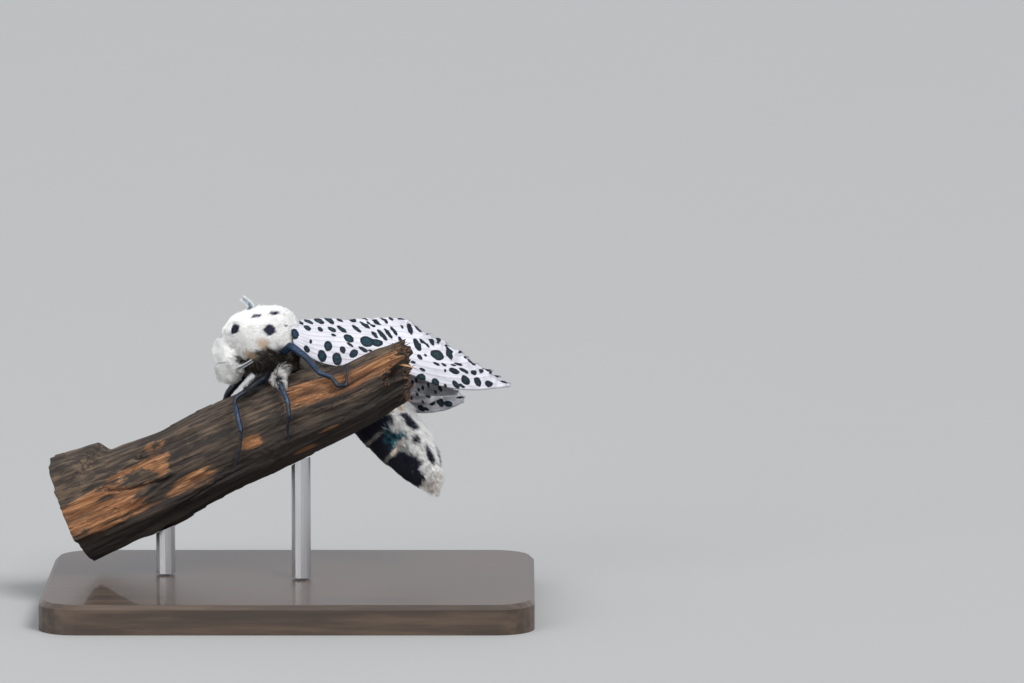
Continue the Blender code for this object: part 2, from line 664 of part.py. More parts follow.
def ball_rings(centre, radius):
    """Rings of a ball."""
    rise = np.linspace(-math.pi / 2 + 0.15, math.pi / 2 - 0.15, 7)[:, None]
    turn = np.linspace(0.0, 2.0 * math.pi, 12, endpoint=False)[None, :]
    place = (np.cos(rise) * np.cos(turn), np.cos(rise) * np.sin(turn), np.sin(rise) + 0.0 * turn)
    return np.stack(place, -1) * radius + np.asarray(centre, float)


def make_head(finish, eye, feeler, clear, draw):
    """The woolly head, hanging from the collar, with an eye in each side and two feelers."""
    form = form_about(HEAD, HEAD_UP)
    rings = rings_of(form, 0.0, 1.0, HEAD_STATIONS, HEAD_SIDES, -0.5 * COAT_DEPTH)
    core = add_object("core", *skin_rings(rings), finish)
    rows, per_row, spread = HEAD_LOCKS
    locks = coat(form, rows, per_row, spread, 0.9, 0.3, -0.22, finish, draw)
    head = join("head", [core] + locks, finish)
    sockets = []
    for name, centre in EYES.items():
        cut_away(add_object(name, *skin_rings(ball_rings(centre, EYE_RADIUS)), eye), [clear])
        rings = ball_rings(centre, EYE_RADIUS + GAP * CLEAR)
        sockets.append(add_object("socket", *skin_rings(rings), finish))
    cut_away(head, [clear] + sockets)
    remove(sockets)
    rings = rings_of(form, 0.0, 1.0, HEAD_STATIONS, HEAD_SIDES, GAP * CLEAR)
    grown = add_object("head_clearance", *skin_rings(rings), finish)
    for name, path in FEELERS.items():
        cut_away(add_object(name, *skin_rings(tube_rings(path, 12, 6)), feeler), [grown, clear])
    remove([grown])


def main():
    for each in list(bpy.data.objects):
        bpy.data.objects.remove(each)
    wood = material("weathered wood", (0.30, 0.22, 0.15), 0.85)
    coat_white = material("white coat", (0.85, 0.85, 0.84), 0.9)
    membrane = material("wing scales", (0.78, 0.80, 0.84), 0.6)
    shell = material("blue-black leg", (0.03, 0.07, 0.16), 0.35, 0.3)
    belly = material("banded abdomen", (0.35, 0.36, 0.40), 0.8)
    eye = material("dark eye", (0.02, 0.02, 0.025), 0.2)
    feeler = material("pale feeler", (0.55, 0.62, 0.68), 0.7)
    base = material("stained base", (0.07, 0.05, 0.04), 0.45)
    steel = material("brushed steel", (0.62, 0.62, 0.62), 0.35, 0.9)
    draw = random.Random(LOCK_SEED)

    make_branch(wood)
    make_stand(base, steel)
    make_thorax(coat_white, draw)
    clear = [thorax_clearance(coat_white), abdomen_clearance(belly)]
    make_abdomen(belly, clear[0], draw)
    make_head(coat_white, eye, feeler, clear[0], draw)
    make_legs(shell, clear)
    make_wings(membrane, clear)
    remove(clear)


main()
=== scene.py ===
"""A leopard moth gripping the torn tip of a branch, dressed around its packed solids.

The numpy work is in millimetres, in the frame of the solids: z is up from the underside of the
stand's base, and the camera looks along +Y. Lengths turn into metres when a mesh is made.
"""

import itertools
import math

import bpy
import numpy as np
from bpy.props import FloatProperty, FloatVectorProperty, PointerProperty
from bpy.types import Operator, Panel, PropertyGroup
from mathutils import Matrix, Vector


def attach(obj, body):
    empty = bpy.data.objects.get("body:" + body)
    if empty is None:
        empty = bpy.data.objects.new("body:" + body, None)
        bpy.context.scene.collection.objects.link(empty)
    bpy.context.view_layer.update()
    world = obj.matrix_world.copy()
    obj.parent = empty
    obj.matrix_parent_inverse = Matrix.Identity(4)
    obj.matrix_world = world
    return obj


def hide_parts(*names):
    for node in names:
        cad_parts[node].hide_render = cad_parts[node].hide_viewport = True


bl_info = {
    "name": "Leopard moth",
    "version": (1, 0, 0),
    "blender": (4, 5, 0),
    "location": "3D View > Sidebar > Moth",
    "description": "A woolly spotted moth on a weathered branch tip, on a plain display stand",
    "category": "Add Mesh",
}

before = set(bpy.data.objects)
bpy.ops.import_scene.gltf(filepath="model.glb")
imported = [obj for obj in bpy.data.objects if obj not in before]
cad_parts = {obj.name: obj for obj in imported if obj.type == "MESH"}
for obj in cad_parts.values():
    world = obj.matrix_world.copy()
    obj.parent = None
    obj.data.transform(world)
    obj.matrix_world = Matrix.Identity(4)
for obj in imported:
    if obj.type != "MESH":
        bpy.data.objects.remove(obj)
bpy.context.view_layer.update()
MM = 0.001
# How far the camera looks down, and the y and z in mm where a height in the front view is zero
VIEW_TILT = math.radians(8.0)
PICTURE_FOOT = (-3.0, 5.2)
# Size of the cells of the fused skin, in mm
SKIN_CELL = 0.22
WOOL_SHARE = 1.0

# Forms shared with the solids: x, y, z and radius along the centre line
BRANCH = (
    (-29.0, 4.0, 11.9, 6.7), (-17.4, 1.8, 17.1, 6.1), (-9.2, 0.3, 21.4, 5.9), (-3.0, -0.8, 24.5, 5.7),
    (2.7, -1.9, 26.9, 5.1), (7.8, -2.9, 28.8, 4.3), (13.0, -3.8, 31.7, 3.95), (15.1, -4.3, 32.8, 3.8),
)
THORAX = (
    (-9.0, 1.5, 37.2, 0.9), (-8.3, 1.6, 37.0, 2.2), (-6.9, 1.7, 36.6, 3.4), (-5.1, 2.0, 36.0, 4.7),
    (-3.0, 2.6, 35.5, 5.3), (-1.2, 3.0, 35.4, 5.3), (0.0, 3.3, 35.3, 4.6), (0.8, 3.5, 35.25, 3.4),
    (1.3, 3.6, 35.2, 1.7),
)
THORAX_BELLY = 0.76
ABDOMEN = (
    (0.3, 3.6, 35.0, 3.3), (1.7, 4.4, 34.2, 3.6), (3.8, 5.9, 32.4, 4.0), (7.4, 7.5, 29.4, 4.3),
    (10.8, 7.6, 26.1, 4.35), (14.0, 7.3, 22.4, 4.1), (16.2, 6.5, 19.9, 3.6), (17.7, 5.7, 17.8, 2.8),
    (18.8, 5.1, 16.1, 1.9), (19.4, 4.6, 14.5, 0.7),
)
ABDOMEN_UP = (0.35, 0.0, 1.0)
ABDOMEN_SEGMENTS = 8.0
ABDOMEN_STEP = 0.045
HEAD = (
    (-8.15, 0.0, 30.25, 0.9), (-8.15, 0.1, 30.6, 1.55), (-8.2, 0.3, 31.3, 1.9), (-8.2, 0.5, 32.2, 2.0),
    (-8.2, 0.7, 33.2, 1.85), (-8.25, 0.9, 34.0, 2.05), (-8.25, 1.1, 34.9, 2.2), (-8.1, 1.2, 35.7, 1.85),
    (-8.0, 1.3, 36.4, 0.8),
)
HEAD_UP = (-1.0, -0.35, 0.0)
# The head under its wool, rounded below
HEAD_CORE = (
    (-8.15, 0.05, 31.0, 0.15), (-8.15, 0.08, 31.12, 0.6), (-8.15, 0.15, 31.4, 1.0),
    (-8.2, 0.35, 31.85, 1.22), (-8.2, 0.5, 32.4, 1.28), (-8.2, 0.7, 33.2, 1.15), (-8.25, 0.9, 34.0, 1.35),
    (-8.25, 1.1, 34.9, 1.45), (-8.1, 1.2, 35.6, 1.15), (-8.0, 1.3, 36.1, 0.3),
)
# How deep the skin lies under the solids' outline
COAT_DEPTH = 0.7
# Point that the hair of the head fans out from
FACE_CENTRE = (-6.6, 0.6, 33.5)
EYE_RADIUS = 0.75
EYES = {"eye_left": (-6.9, -0.7, 33.9), "eye_right": (-8.2, 2.95, 33.9)}

# Wings: leading and hind edge from root to tip, count of veins, side each arches to, its height
LEFT_OUT, RIGHT_OUT = (0.0, -0.75, 0.66), (0.0, 0.75, 0.66)
WINGS = {
    "forewing_left": (
        ((-0.4, -1.6, 36.5), (1.4, -2.0, 35.3), (3.9, -1.2, 33.6), (7.4, 0.1, 32.6), (11.5, 1.4, 32.0),
         (15.8, 2.4, 31.4), (20.2, 3.1, 29.7), (25.0, 3.5, 29.0), (29.6, 4.0, 29.4)),
        ((-0.3, 0.1, 38.6), (1.2, 3.7, 38.5), (3.4, 6.4, 38.2), (7.4, 8.3, 37.9), (11.5, 9.3, 37.7),
         (14.7, 9.9, 37.5)),
        11, LEFT_OUT, 0.2,
    ),
    "forewing_right": (
        ((0.0, 9.7, 34.0), (3.8, 11.9, 30.8), (7.4, 13.6, 28.3), (12.8, 15.0, 25.3), (17.3, 16.0, 24.0),
         (20.9, 16.8, 24.3), (23.2, 17.2, 25.2)),
        ((0.0, 8.6, 37.0), (1.5, 7.6, 37.5), (3.4, 7.9, 37.3), (7.4, 9.6, 37.0), (11.5, 10.7, 36.8),
         (14.4, 11.2, 36.6)),
        11, RIGHT_OUT, 0.12,
    ),
    "hindwing_left": (
        ((0.9, -0.2, 35.3), (4.7, 1.5, 33.2), (9.5, 3.3, 31.0), (14.9, 4.9, 29.2), (19.6, 5.6, 27.9),
         (22.4, 6.0, 28.0)),
        ((1.4, 4.2, 36.9), (4.7, 6.3, 36.5), (8.8, 7.9, 35.9), (12.8, 8.6, 35.1)),
        8, LEFT_OUT, 0.12,
    ),
    "hindwing_right": (
        ((0.9, 8.9, 33.8), (4.7, 11.1, 30.4), (8.8, 12.9, 27.5), (14.2, 14.0, 25.8), (18.2, 14.8, 25.4),
         (20.2, 15.2, 26.1)),
        ((1.4, 6.4, 36.3), (4.7, 8.2, 35.7), (8.8, 9.5, 35.0), (12.8, 10.2, 34.2)),
        8, RIGHT_OUT, 0.06,
    ),
}
# How far the arch has died away at the outer edge, and the station at which the plate starts
WING_FLATTEN = 0.8
WING_START = 0.045
# Feelers and legs: x, y, z, radius; on the wood a leg's points are x, turn in degrees and height
FEELERS = {
    "antenna_left": (
        (-7.3, -0.8, 32.4, 0.2), (-5.9, -2.9, 33.4, 0.12), (-4.9, -3.6, 34.1, 0.1), (-3.4, -3.7, 34.8, 0.04),
    ),
    "antenna_right": (
        (-8.4, 2.4, 35.3, 0.3), (-8.2, 5.4, 36.6, 0.26), (-7.0, 6.5, 38.0, 0.22), (-5.9, 6.5, 39.2, 0.17),
        (-5.5, 6.0, 40.1, 0.11), (-6.5, 5.5, 41.3, 0.04),
    ),
}
# Radius along a leg: thigh from 0 to 1, shin to 2, foot to 3
LEG_RADII = (
    (0.0, 0.45), (0.25, 0.53), (0.6, 0.48), (0.93, 0.32), (1.0, 0.36), (1.07, 0.28), (1.45, 0.35),
    (1.9, 0.28), (1.97, 0.31), (2.05, 0.19), (2.5, 0.18), (3.0, 0.13),
)
# Which of a leg's points are its knee and its ankle
LEG_JOINTS = {
    "foreleg_left": (3, 5), "foreleg_right": (3, 5), "midleg_left": (2, 4), "midleg_right": (2, 4),
    "hindleg_left": (5, 7), "hindleg_right": (2, 4),
}
LEGS = {
    "foreleg_left": (
        ((-3.6, 0.4, 33.6), (-3.2, -1.0, 31.6)),
        ((-5.0, 24.0, 1.1), (-7.3, 37.0, 1.4), (-6.9, 58.0, 1.0), (-6.3, 79.0, 0.85), (-6.5, 96.0, 0.75),
         (-7.3, 112.0, 0.75)),
    ),
    "foreleg_right": (
        ((-5.6, 2.9, 33.0), (-6.0, 3.6, 31.6)),
        ((-8.6, -34.0, 1.5), (-9.4, -52.0, 1.2), (-9.0, -74.0, 0.9), (-9.2, -92.0, 0.8), (-9.8, -108.0, 0.7)),
    ),
    "midleg_left": (
        ((-0.6, 0.8, 33.0), (-1.5, -2.6, 31.9)),
        ((-1.1, 44.0, 1.7), (-0.1, 66.0, 1.1), (0.2, 84.0, 0.9), (-0.1, 98.0, 0.8), (0.1, 112.0, 0.7)),
    ),
    "midleg_right": (
        ((-3.8, 3.9, 32.8), (-3.8, 4.6, 31.0)),
        ((-5.2, -52.0, 1.3), (-5.2, -74.0, 1.0), (-5.5, -92.0, 0.85), (-5.8, -108.0, 0.7)),
    ),
    "hindleg_left": (
        ((-1.4, 1.8, 34.6), (-0.6, -2.2, 35.2), (0.3, -3.7, 36.1), (2.4, -4.8, 34.7)),
        ((4.3, 42.0, 1.6), (5.7, 47.0, 1.1), (6.7, 62.0, 0.9), (7.8, 66.0, 0.8), (7.9, 44.0, 0.75),
         (7.8, 24.0, 0.7)),
    ),
    "hindleg_right": (
        ((-1.0, 4.4, 32.4), (-1.2, 5.4, 30.6)),
        ((-1.2, -66.0, 1.7), (-0.4, -84.0, 1.05), (-0.6, -98.0, 0.85), (-0.8, -112.0, 0.7)),
    ),
}
# Where each leg is brightest blue, on the same measure: partly blue scales, partly painted highlight where
# the leg was lit
LEG_LIT_BLUE = {"foreleg_left": (1.25, 1.95), "hindleg_left": (0.12, 0.97), "midleg_left": (1.1, 1.6)}

# Legs with long hair, near-black on the foreleg and partly painted shade there, white on the others,
# and how far down the thigh it reaches
THIGH_HAIR = {"foreleg_left": 0.8, "midleg_left": 1.0, "midleg_right": 0.8, "hindleg_right": 0.8}

# Spots of the thorax: station, turn, half length and half width in mm, power of their outline,
# which is 2 for an ellipse, less for a diamond and more for a box
THORAX_SPOTS = (
    (0.11, 1.115, 0.72, 0.7, 3.0), (0.459, 1.084, 0.95, 0.88, 1.3), (0.306, 0.503, 0.8, 0.34, 2.0),
    (0.544, 0.487, 0.68, 0.42, 2.0), (0.744, 0.93, 0.22, 0.22, 2.0),
)
# Where the thorax's white wool ends and the near-black hair below starts, partly painted shade under the
# thorax: station and turn
THORAX_BORDER = (
    (0.0, 3.0), (0.26, 2.5), (0.34, 1.95), (0.39, 1.7), (0.43, 1.58), (0.48, 1.52), (0.62, 1.58),
    (0.7, 1.55), (0.76, 1.5), (0.8, 1.47), (1.0, 1.45),
)
# Patches on the near side in the torn grain's orange, partly torn-open grain and partly painted light:
# x, height in the front view, half length and half width in mm. The grain rises by WOOD_RISE there
WOOD_PATCHES = (
    (-27.0, 7.6, 8.0, 2.1), (-17.9, 15.3, 1.6, 2.2), (-12.8, 12.4, 3.4, 0.9), (-5.0, 17.8, 1.5, 0.8),
    (5.5, 19.4, 1.2, 0.16), (2.3, 16.7, 1.5, 0.2), (-22.0, 13.6, 2.6, 0.3),
)
WOOD_RISE = math.radians(24.0)
# Spots of the forewing: station, share across, half length and half width in mm, and how many
# degrees they lean from the veins towards the leading edge
FOREWING_SPOTS = (
    (0.628, 0.02, 0.66, 0.57, -40), (0.738, 0.02, 0.30, 0.18, 50), (0.345, 0.03, 0.50, 0.35, 30),
    (0.696, 0.03, 0.63, 0.54, 55), (0.82, 0.05, 0.45, 0.21, 30), (0.795, 0.06, 0.68, 0.35, 45),
    (0.933, 0.06, 0.57, 0.36, 55), (0.987, 0.07, 0.46, 0.19, 30), (0.45, 0.10, 0.75, 0.55, 60),
    (0.907, 0.10, 0.77, 0.42, 70), (0.27, 0.12, 0.87, 0.70, 85), (0.535, 0.12, 0.80, 0.55, 60),
    (0.865, 0.12, 0.74, 0.53, 60), (0.199, 0.13, 0.82, 0.65, 70), (0.61, 0.13, 0.50, 0.35, 30),
    (0.117, 0.14, 0.52, 0.44, 25), (0.992, 0.14, 0.41, 0.18, 40), (0.691, 0.18, 0.44, 0.23, 5),
    (0.995, 0.20, 0.36, 0.17, 45), (0.935, 0.21, 0.43, 0.24, 40), (0.963, 0.22, 0.39, 0.21, 50),
    (0.376, 0.23, 0.73, 0.51, -40), (0.818, 0.23, 0.26, 0.15, 90), (0.863, 0.23, 0.74, 0.40, 25),
    (0.905, 0.23, 0.65, 0.24, 35), (0.988, 0.23, 0.51, 0.24, 45), (0.56, 0.25, 0.60, 0.30, 40),
    (0.676, 0.26, 0.36, 0.24, 0), (0.331, 0.28, 0.53, 0.42, -85), (0.479, 0.29, 0.35, 0.19, 25),
    (0.447, 0.31, 0.70, 0.32, 30), (0.811, 0.31, 0.45, 0.19, 20), (0.845, 0.31, 0.41, 0.17, 20),
    (0.893, 0.31, 0.38, 0.17, 15), (0.922, 0.32, 0.61, 0.19, 30), (0.264, 0.33, 0.78, 0.58, -70),
    (0.983, 0.33, 0.48, 0.21, 40), (0.995, 0.35, 0.49, 0.26, 30), (0.165, 0.36, 0.34, 0.21, -75),
    (0.62, 0.36, 0.60, 0.30, 50), (0.396, 0.37, 0.54, 0.23, 35), (0.76, 0.38, 0.50, 0.30, 50),
    (0.987, 0.40, 0.37, 0.17, 55), (0.805, 0.42, 0.25, 0.22, 45), (0.062, 0.44, 0.84, 0.55, 75),
    (0.876, 0.44, 0.99, 0.75, 35), (0.508, 0.45, 0.98, 0.94, -50), (0.566, 0.45, 0.89, 0.68, -25),
    (0.945, 0.46, 1.12, 0.35, 70), (0.67, 0.47, 0.65, 0.35, 60), (0.995, 0.48, 0.34, 0.19, 30),
    (0.424, 0.49, 0.80, 0.69, 70), (0.73, 0.52, 0.80, 0.35, 70), (0.351, 0.55, 0.35, 0.32, 25),
    (0.843, 0.58, 1.24, 0.47, 80), (0.987, 0.58, 0.55, 0.18, 65), (0.896, 0.61, 1.13, 0.28, 60),
    (0.77, 0.62, 0.80, 0.30, 70), (0.943, 0.64, 0.90, 0.19, 65), (0.629, 0.65, 0.92, 0.37, 80),
    (0.975, 0.66, 0.84, 0.18, 70), (0.686, 0.67, 1.30, 0.44, 70), (0.299, 0.68, 0.76, 0.38, -65),
    (0.379, 0.68, 0.82, 0.54, 95), (0.449, 0.69, 1.02, 0.47, 75), (0.204, 0.71, 0.78, 0.53, -50),
    (0.554, 0.73, 1.09, 0.44, 75), (0.753, 0.73, 1.18, 0.31, 70), (0.816, 0.78, 1.00, 0.30, 70),
    (0.995, 0.78, 0.44, 0.18, 65), (0.94, 0.83, 1.03, 0.26, 75), (0.664, 0.85, 0.98, 0.42, 55),
    (0.995, 0.86, 0.85, 0.26, 60), (0.725, 0.87, 0.50, 0.29, 55), (0.917, 0.87, 0.42, 0.15, 75),
    (0.175, 0.90, 0.72, 0.48, -55), (0.723, 0.90, 0.48, 0.25, 55), (0.272, 0.91, 0.87, 0.61, -75),
    (0.371, 0.92, 1.10, 0.65, -75), (0.783, 0.92, 0.80, 0.28, 50), (0.858, 0.94, 0.45, 0.19, 70),
    (0.459, 0.95, 1.61, 0.51, 90), (0.539, 0.96, 1.20, 0.42, 85), (0.85, 0.97, 0.37, 0.27, 40),
    (0.639, 0.98, 1.06, 0.46, 70), (0.733, 0.98, 0.50, 0.24, 55), (0.917, 0.98, 0.58, 0.23, 70),
    (0.973, 0.98, 0.47, 0.24, 40),
)
# Dark patches in the white hair of the abdomen, written as the thorax's spots are
ABDOMEN_SPOTS = (
    (0.684, 0.6, 1.35, 0.9, 2.0), (0.86, 0.46, 1.8, 0.6, 2.0), (0.77, 0.78, 0.5, 0.5, 2.0),
    (0.5, 0.2, 1.2, 1.0, 2.0), (0.684, -0.6, 1.35, 0.9, 2.0), (0.86, -0.5, 1.8, 0.6, 2.0),
)

# Middle line of the pale splinter under the torn beam
SPLINTER = ((13.6, -6.0, 34.2), (14.9, -6.3, 34.1), (16.2, -6.1, 33.7), (17.7, -5.7, 33.1))

# Stations that a form's line is worked out at, and rings of a leg
FINE = 240
LEG_RINGS = 150
# Size of each hair's own patch in the unwrap
PATCH = 0.003


# Numbers and forms


def curve(points, count):
    """Points spread evenly along the smooth Catmull-Rom curve through the given ones."""
    knots = np.asarray(points, float)
    steps = np.linalg.norm(np.diff(knots[:, :3], axis=0), axis=1)
    at = np.concatenate([[0.0], np.cumsum(steps)]) / steps.sum()
    slope = np.gradient(knots, at, axis=0)
    where = np.linspace(0.0, 1.0, count)
    i = np.clip(np.searchsorted(at, where, side="right") - 1, 0, len(at) - 2)
    width = (at[i + 1] - at[i])[:, None]
    t = (where - at[i])[:, None] / width
    first = (2 * t**3 - 3 * t**2 + 1) * knots[i] + (t**3 - 2 * t**2 + t) * width * slope[i]
    second = (3 * t**2 - 2 * t**3) * knots[i + 1] + (t**3 - t**2) * width * slope[i + 1]
    return first + second


def unit(vectors):
    """The same vectors, one unit long."""
    return vectors / np.maximum(np.linalg.norm(vectors, axis=-1, keepdims=True), 1e-9)


def smooth(low, high, value):
    """A soft step from 0 at low to 1 at high: 3t^2 - 2t^3."""
    t = np.clip((value - low) / (high - low), 0.0, 1.0)
    return t * t * (3.0 - 2.0 * t)


def frames(centres, up=(0.0, 0.0, 1.0)):
    """Along, across and up directions at each centre; across points to the moth's left."""
    along = unit(np.gradient(centres, axis=0))
    across = unit(np.cross(np.broadcast_to(np.asarray(up, float), along.shape), along)) * -1.0
    return along, across, unit(np.cross(along, across)) * -1.0


def noise(points, seed=0):
    """Smooth random values from -1 to 1: hashed numbers at the corners of unit cells, blended."""
    base = np.floor(points).astype(np.int64)
    part = points - base
    part = part * part * (3.0 - 2.0 * part)
    total = np.zeros(points.shape[:-1])
    for corner in itertools.product((0, 1), repeat=3):
        cell = base + np.array(corner)
        code = cell[..., 0] * 73856093 ^ cell[..., 1] * 19349663 ^ cell[..., 2] * 83492791 ^ seed * 2654435
        code = (code ^ (code >> 13)) * 1274126177 & 0x7FFFFFFF
        value = ((code ^ (code >> 15)) & 0xFFFF) / 32767.5 - 1.0
        total += value * np.prod(np.where(corner, part, 1.0 - part), axis=-1)
    return total


def layered(points, octaves, seed=0):
    """Noise at several scales: each octave twice as fine and half as strong as the one before."""
    return sum(noise(points * 2.0**k, seed + k) * 0.5**k for k in range(octaves))


def form_about(stations, up=(0.0, 0.0, 1.0), relief=None):
    """A rounded form about a centre line, as a function of station, turn and height.

    The point is the centre at the station, plus the radius and the height along the direction
    across * sin(turn) + up * cos(turn). The relief may scale the radius.
    """
    line = curve(stations, FINE)
    _, across, upward = frames(line[:, :3], up)
    fine = np.linspace(0.0, 1.0, FINE)

    def point(station, turn, height):
        station, turn, height = np.broadcast_arrays(station, turn, height)
        pick = lambda table: np.stack([np.interp(station, fine, column) for column in table.T], -1)
        centre = pick(line)
        factor = relief(station, turn, centre[..., 0]) if relief else 1.0
        side = unit(pick(across)) * np.sin(turn)[..., None] + unit(pick(upward)) * np.cos(turn)[..., None]
        return centre[..., :3] + side * (centre[..., 3] * factor + height)[..., None]

    return point


def branch_relief(station, turn, x):
    """Radius factor of the weathered wood: ridges, a second layer, a plank, a split and a pit."""
    ridges = 0.035 * np.cos(3.0 * turn + 2.2 * station) + 0.02 * np.cos(7.0 * turn - 5.0 * station)
    ridges = ridges + 0.012 * np.cos(13.0 * turn + 9.0 * station)
    layer_edge = -24.5 + 2.0 * np.cos(3.0 * turn)
    layer = 0.22 * smooth(0.75, 0.45, np.abs(turn - 0.1)) * smooth(layer_edge + 0.7, layer_edge - 0.7, x)
    plank = 0.1 * smooth(0.5, 0.75, turn) * smooth(1.75, 1.5, turn) * smooth(0.3, 1.5, x)
    plank = plank * smooth(8.6, 7.4, x)
    split = -0.09 * smooth(0.2, 0.05, np.abs(turn - 2.0 + 0.5 * station)) * smooth(-23.0, -20.0, x)
    split = split * smooth(-8.0, -11.0, x)
    pit = -0.13 * np.exp(-(((turn - 1.1) / 0.2) ** 2) - ((x + 19.4) / 1.3) ** 2)
    return 1.0 + ridges + layer + plank + split + pit


def torn_beam(turn):
    """1 over the flat-ended beam that makes the near upper side of the torn tip, 0 beside it."""
    return smooth(-0.75, -0.3, turn) * smooth(1.35, 1.05, turn)


def torn_face(turn, share):
    """How far the torn face runs past the line's end, at a share of the way from middle to rim.

    The rim has the beam, a notch, a ragged lobe and a splinter at the back. The face is flat over
    the beam, ends beneath it, and sinks towards the middle elsewhere.
    """
    beam = torn_beam(turn)
    lobe = smooth(1.65, 1.95, turn) * smooth(2.6, 2.3, turn)
    back = np.exp(-(((turn + 1.7) / 0.4) ** 2))
    rim = beam * (3.4 + 0.5 * turn) + 2.6 * lobe + 1.6 * back - 1.2
    rim = rim + 0.3 * np.cos(9.0 * turn + 1.0) + 0.2 * np.cos(5.0 * turn)
    return beam * rim * smooth(0.15, 0.45, share) + (1.0 - beam) * (rim * share - 1.6 * (1.0 - share))


def thorax_relief(station, turn, x):
    """The thorax is flatter below than above."""
    return np.where(np.cos(turn) < 0.0, 1.0 + (THORAX_BELLY - 1.0) * np.cos(turn) ** 2, 1.0)


def abdomen_relief(station, turn, x):
    """Each segment of the abdomen swells towards its hind edge and steps down to the next."""
    along = (station * ABDOMEN_SEGMENTS) % 1.0
    return 1.0 + ABDOMEN_STEP * (along - 0.6) * smooth(1.0, 0.9, along)


thorax_form = form_about(THORAX, relief=thorax_relief)
abdomen_form = form_about(ABDOMEN, ABDOMEN_UP, abdomen_relief)
head_core = form_about(HEAD_CORE, HEAD_UP)
branch_form = form_about(BRANCH, relief=branch_relief)
# Where each form lies on the shared unwrap of the skin: first u and width
UNWRAP = {"thorax": (0.0, 0.3), "abdomen": (0.31, 0.3), "head": (0.62, 0.15), "limb": (0.78, 0.22)}


def grid(rows, columns):
    """Stations down the rows and turns across the columns of a grid on a form."""
    turn = np.linspace(-math.pi, math.pi, columns, endpoint=False)
    return np.linspace(0.0, 1.0, rows)[:, None], turn[None, :]


def wing_surface(name, rows, columns):
    """Middle of a wing at (station, share across): a blend of its two edges plus the arch.

    The arch is a half sine across, along the wing's out direction, times the spread between the
    edges, and it dies away towards the outer edge.
    """
    lead, hind, veins, out, arch = WINGS[name]
    across = np.linspace(0.0, 1.0, columns)[None, :, None]
    front, back = curve(lead, rows), curve(hind, rows)
    flat = front[:, None, :] * (1.0 - across) + back[:, None, :] * across
    spread = np.linalg.norm(back - front, axis=1)[:, None, None]
    station = np.linspace(0.0, 1.0, rows)[:, None, None]
    lift = arch * spread * np.sin(math.pi * across) * (1.0 - WING_FLATTEN * station**1.5)
    return flat + lift * np.asarray(out, float)


# Meshes


def add_mesh(name, points, faces, finish, fields=None, uv=None):
    """An object from points in mm and arrays of faces, with float fields and a UV place per point."""
    mesh = bpy.data.meshes.new(name)
    points = np.ascontiguousarray(points, float)
    loops = np.concatenate([np.asarray(f, np.int32).ravel() for f in faces])
    counts = np.concatenate([np.full(len(f), np.shape(f)[1], np.int32) for f in faces])
    mesh.vertices.add(len(points))
    mesh.vertices.foreach_set("co", (points * MM).astype(np.float32).ravel())
    mesh.loops.add(len(loops))
    mesh.loops.foreach_set("vertex_index", loops)
    mesh.polygons.add(len(counts))
    mesh.polygons.foreach_set("loop_start", np.concatenate([[0], np.cumsum(counts)[:-1]]).astype(np.int32))
    mesh.update(calc_edges=True)
    mesh.polygons.foreach_set("use_smooth", np.full(len(counts), True))
    for key, values in (fields or {}).items():
        layer = mesh.attributes.new(key, "FLOAT", "POINT")
        layer.data.foreach_set("value", np.broadcast_to(values, len(points)).astype(np.float32).copy())
    if uv is not None:
        mesh.uv_layers.new(name="OFBake").data.foreach_set("uv", uv[loops].astype(np.float32).ravel())
    mesh.validate()
    mesh.materials.append(finish)
    made = bpy.data.objects.new(name, mesh)
    bpy.context.scene.collection.objects.link(made)
    return made


def ride(piece, slot, *nodes):
    """The piece rides on the still body and stands for the nodes; the slot is not used."""
    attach(piece, "root")
    if nodes:
        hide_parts(*nodes)


def wrap_faces(rows, columns):
    """Quads of a grid that closes on itself across, and fans to a point at each end.

    The two end points follow the grid's own points.
    """
    i, j = np.meshgrid(np.arange(rows - 1), np.arange(columns), indexing="ij")
    k = (j + 1) % columns
    quads = np.stack([i * columns + j, i * columns + k, (i + 1) * columns + k, (i + 1) * columns + j], -1)
    ring = np.arange(columns)
    after = (ring + 1) % columns
    last = (rows - 1) * columns
    first_fan = np.stack([after, ring, np.full(columns, rows * columns)], -1)
    last_fan = np.stack([last + ring, last + after, np.full(columns, rows * columns + 1)], -1)
    return quads.reshape(-1, 4), np.concatenate([first_fan, last_fan])


def facing_in(points, quads):
    """Whether a closed grid's faces point to its inside, from the sign of its volume."""
    a, b, c, d = (points[quads[:, k]] for k in range(4))
    return float((a * np.cross(b, c)).sum() + (a * np.cross(c, d)).sum()) < 0.0


def closed_mesh(name, rings, finish, fields=None):
    """A closed form through rings of points, with the middle of each end ring as its end point."""
    points = np.concatenate([rings.reshape(-1, 3), rings[:1].mean(axis=1), rings[-1:].mean(axis=1)])
    quads, fans = wrap_faces(*rings.shape[:2])
    if facing_in(points, quads):
        quads, fans = quads[:, ::-1], fans[:, ::-1]
    return add_mesh(name, points, (quads, fans), finish, fields)


def on_points(rings, values):
    """Values on the grid, and their mean at each end point."""
    values = np.broadcast_to(values, rings.shape[:2])
    return np.concatenate([values.ravel(), [values[0].mean(), values[-1].mean()]])


def tube(path, stations, sides, bulge):
    """Rings of a round tube through x, y, z, radius points; bulge gives a factor along it."""
    line = curve(path, stations)
    centres, radius = line[:, :3], line[:, 3] * bulge
    along = unit(np.gradient(centres, axis=0))
    side = np.zeros_like(along)
    start = np.array([0.0, 0.0, 1.0]) if abs(along[0, 2]) < 0.9 else np.array([1.0, 0.0, 0.0])
    side[0] = unit(np.cross(along[0], start))
    for i in range(1, stations):
        side[i] = unit(side[i - 1] - along[i] * np.dot(side[i - 1], along[i]))
    other = np.cross(along, side)
    turn = np.linspace(0.0, 2.0 * math.pi, sides, endpoint=False)[None, :, None]
    ring = side[:, None, :] * np.cos(turn) + other[:, None, :] * np.sin(turn)
    return centres[:, None, :] + ring * radius[:, None, None]


# Coats


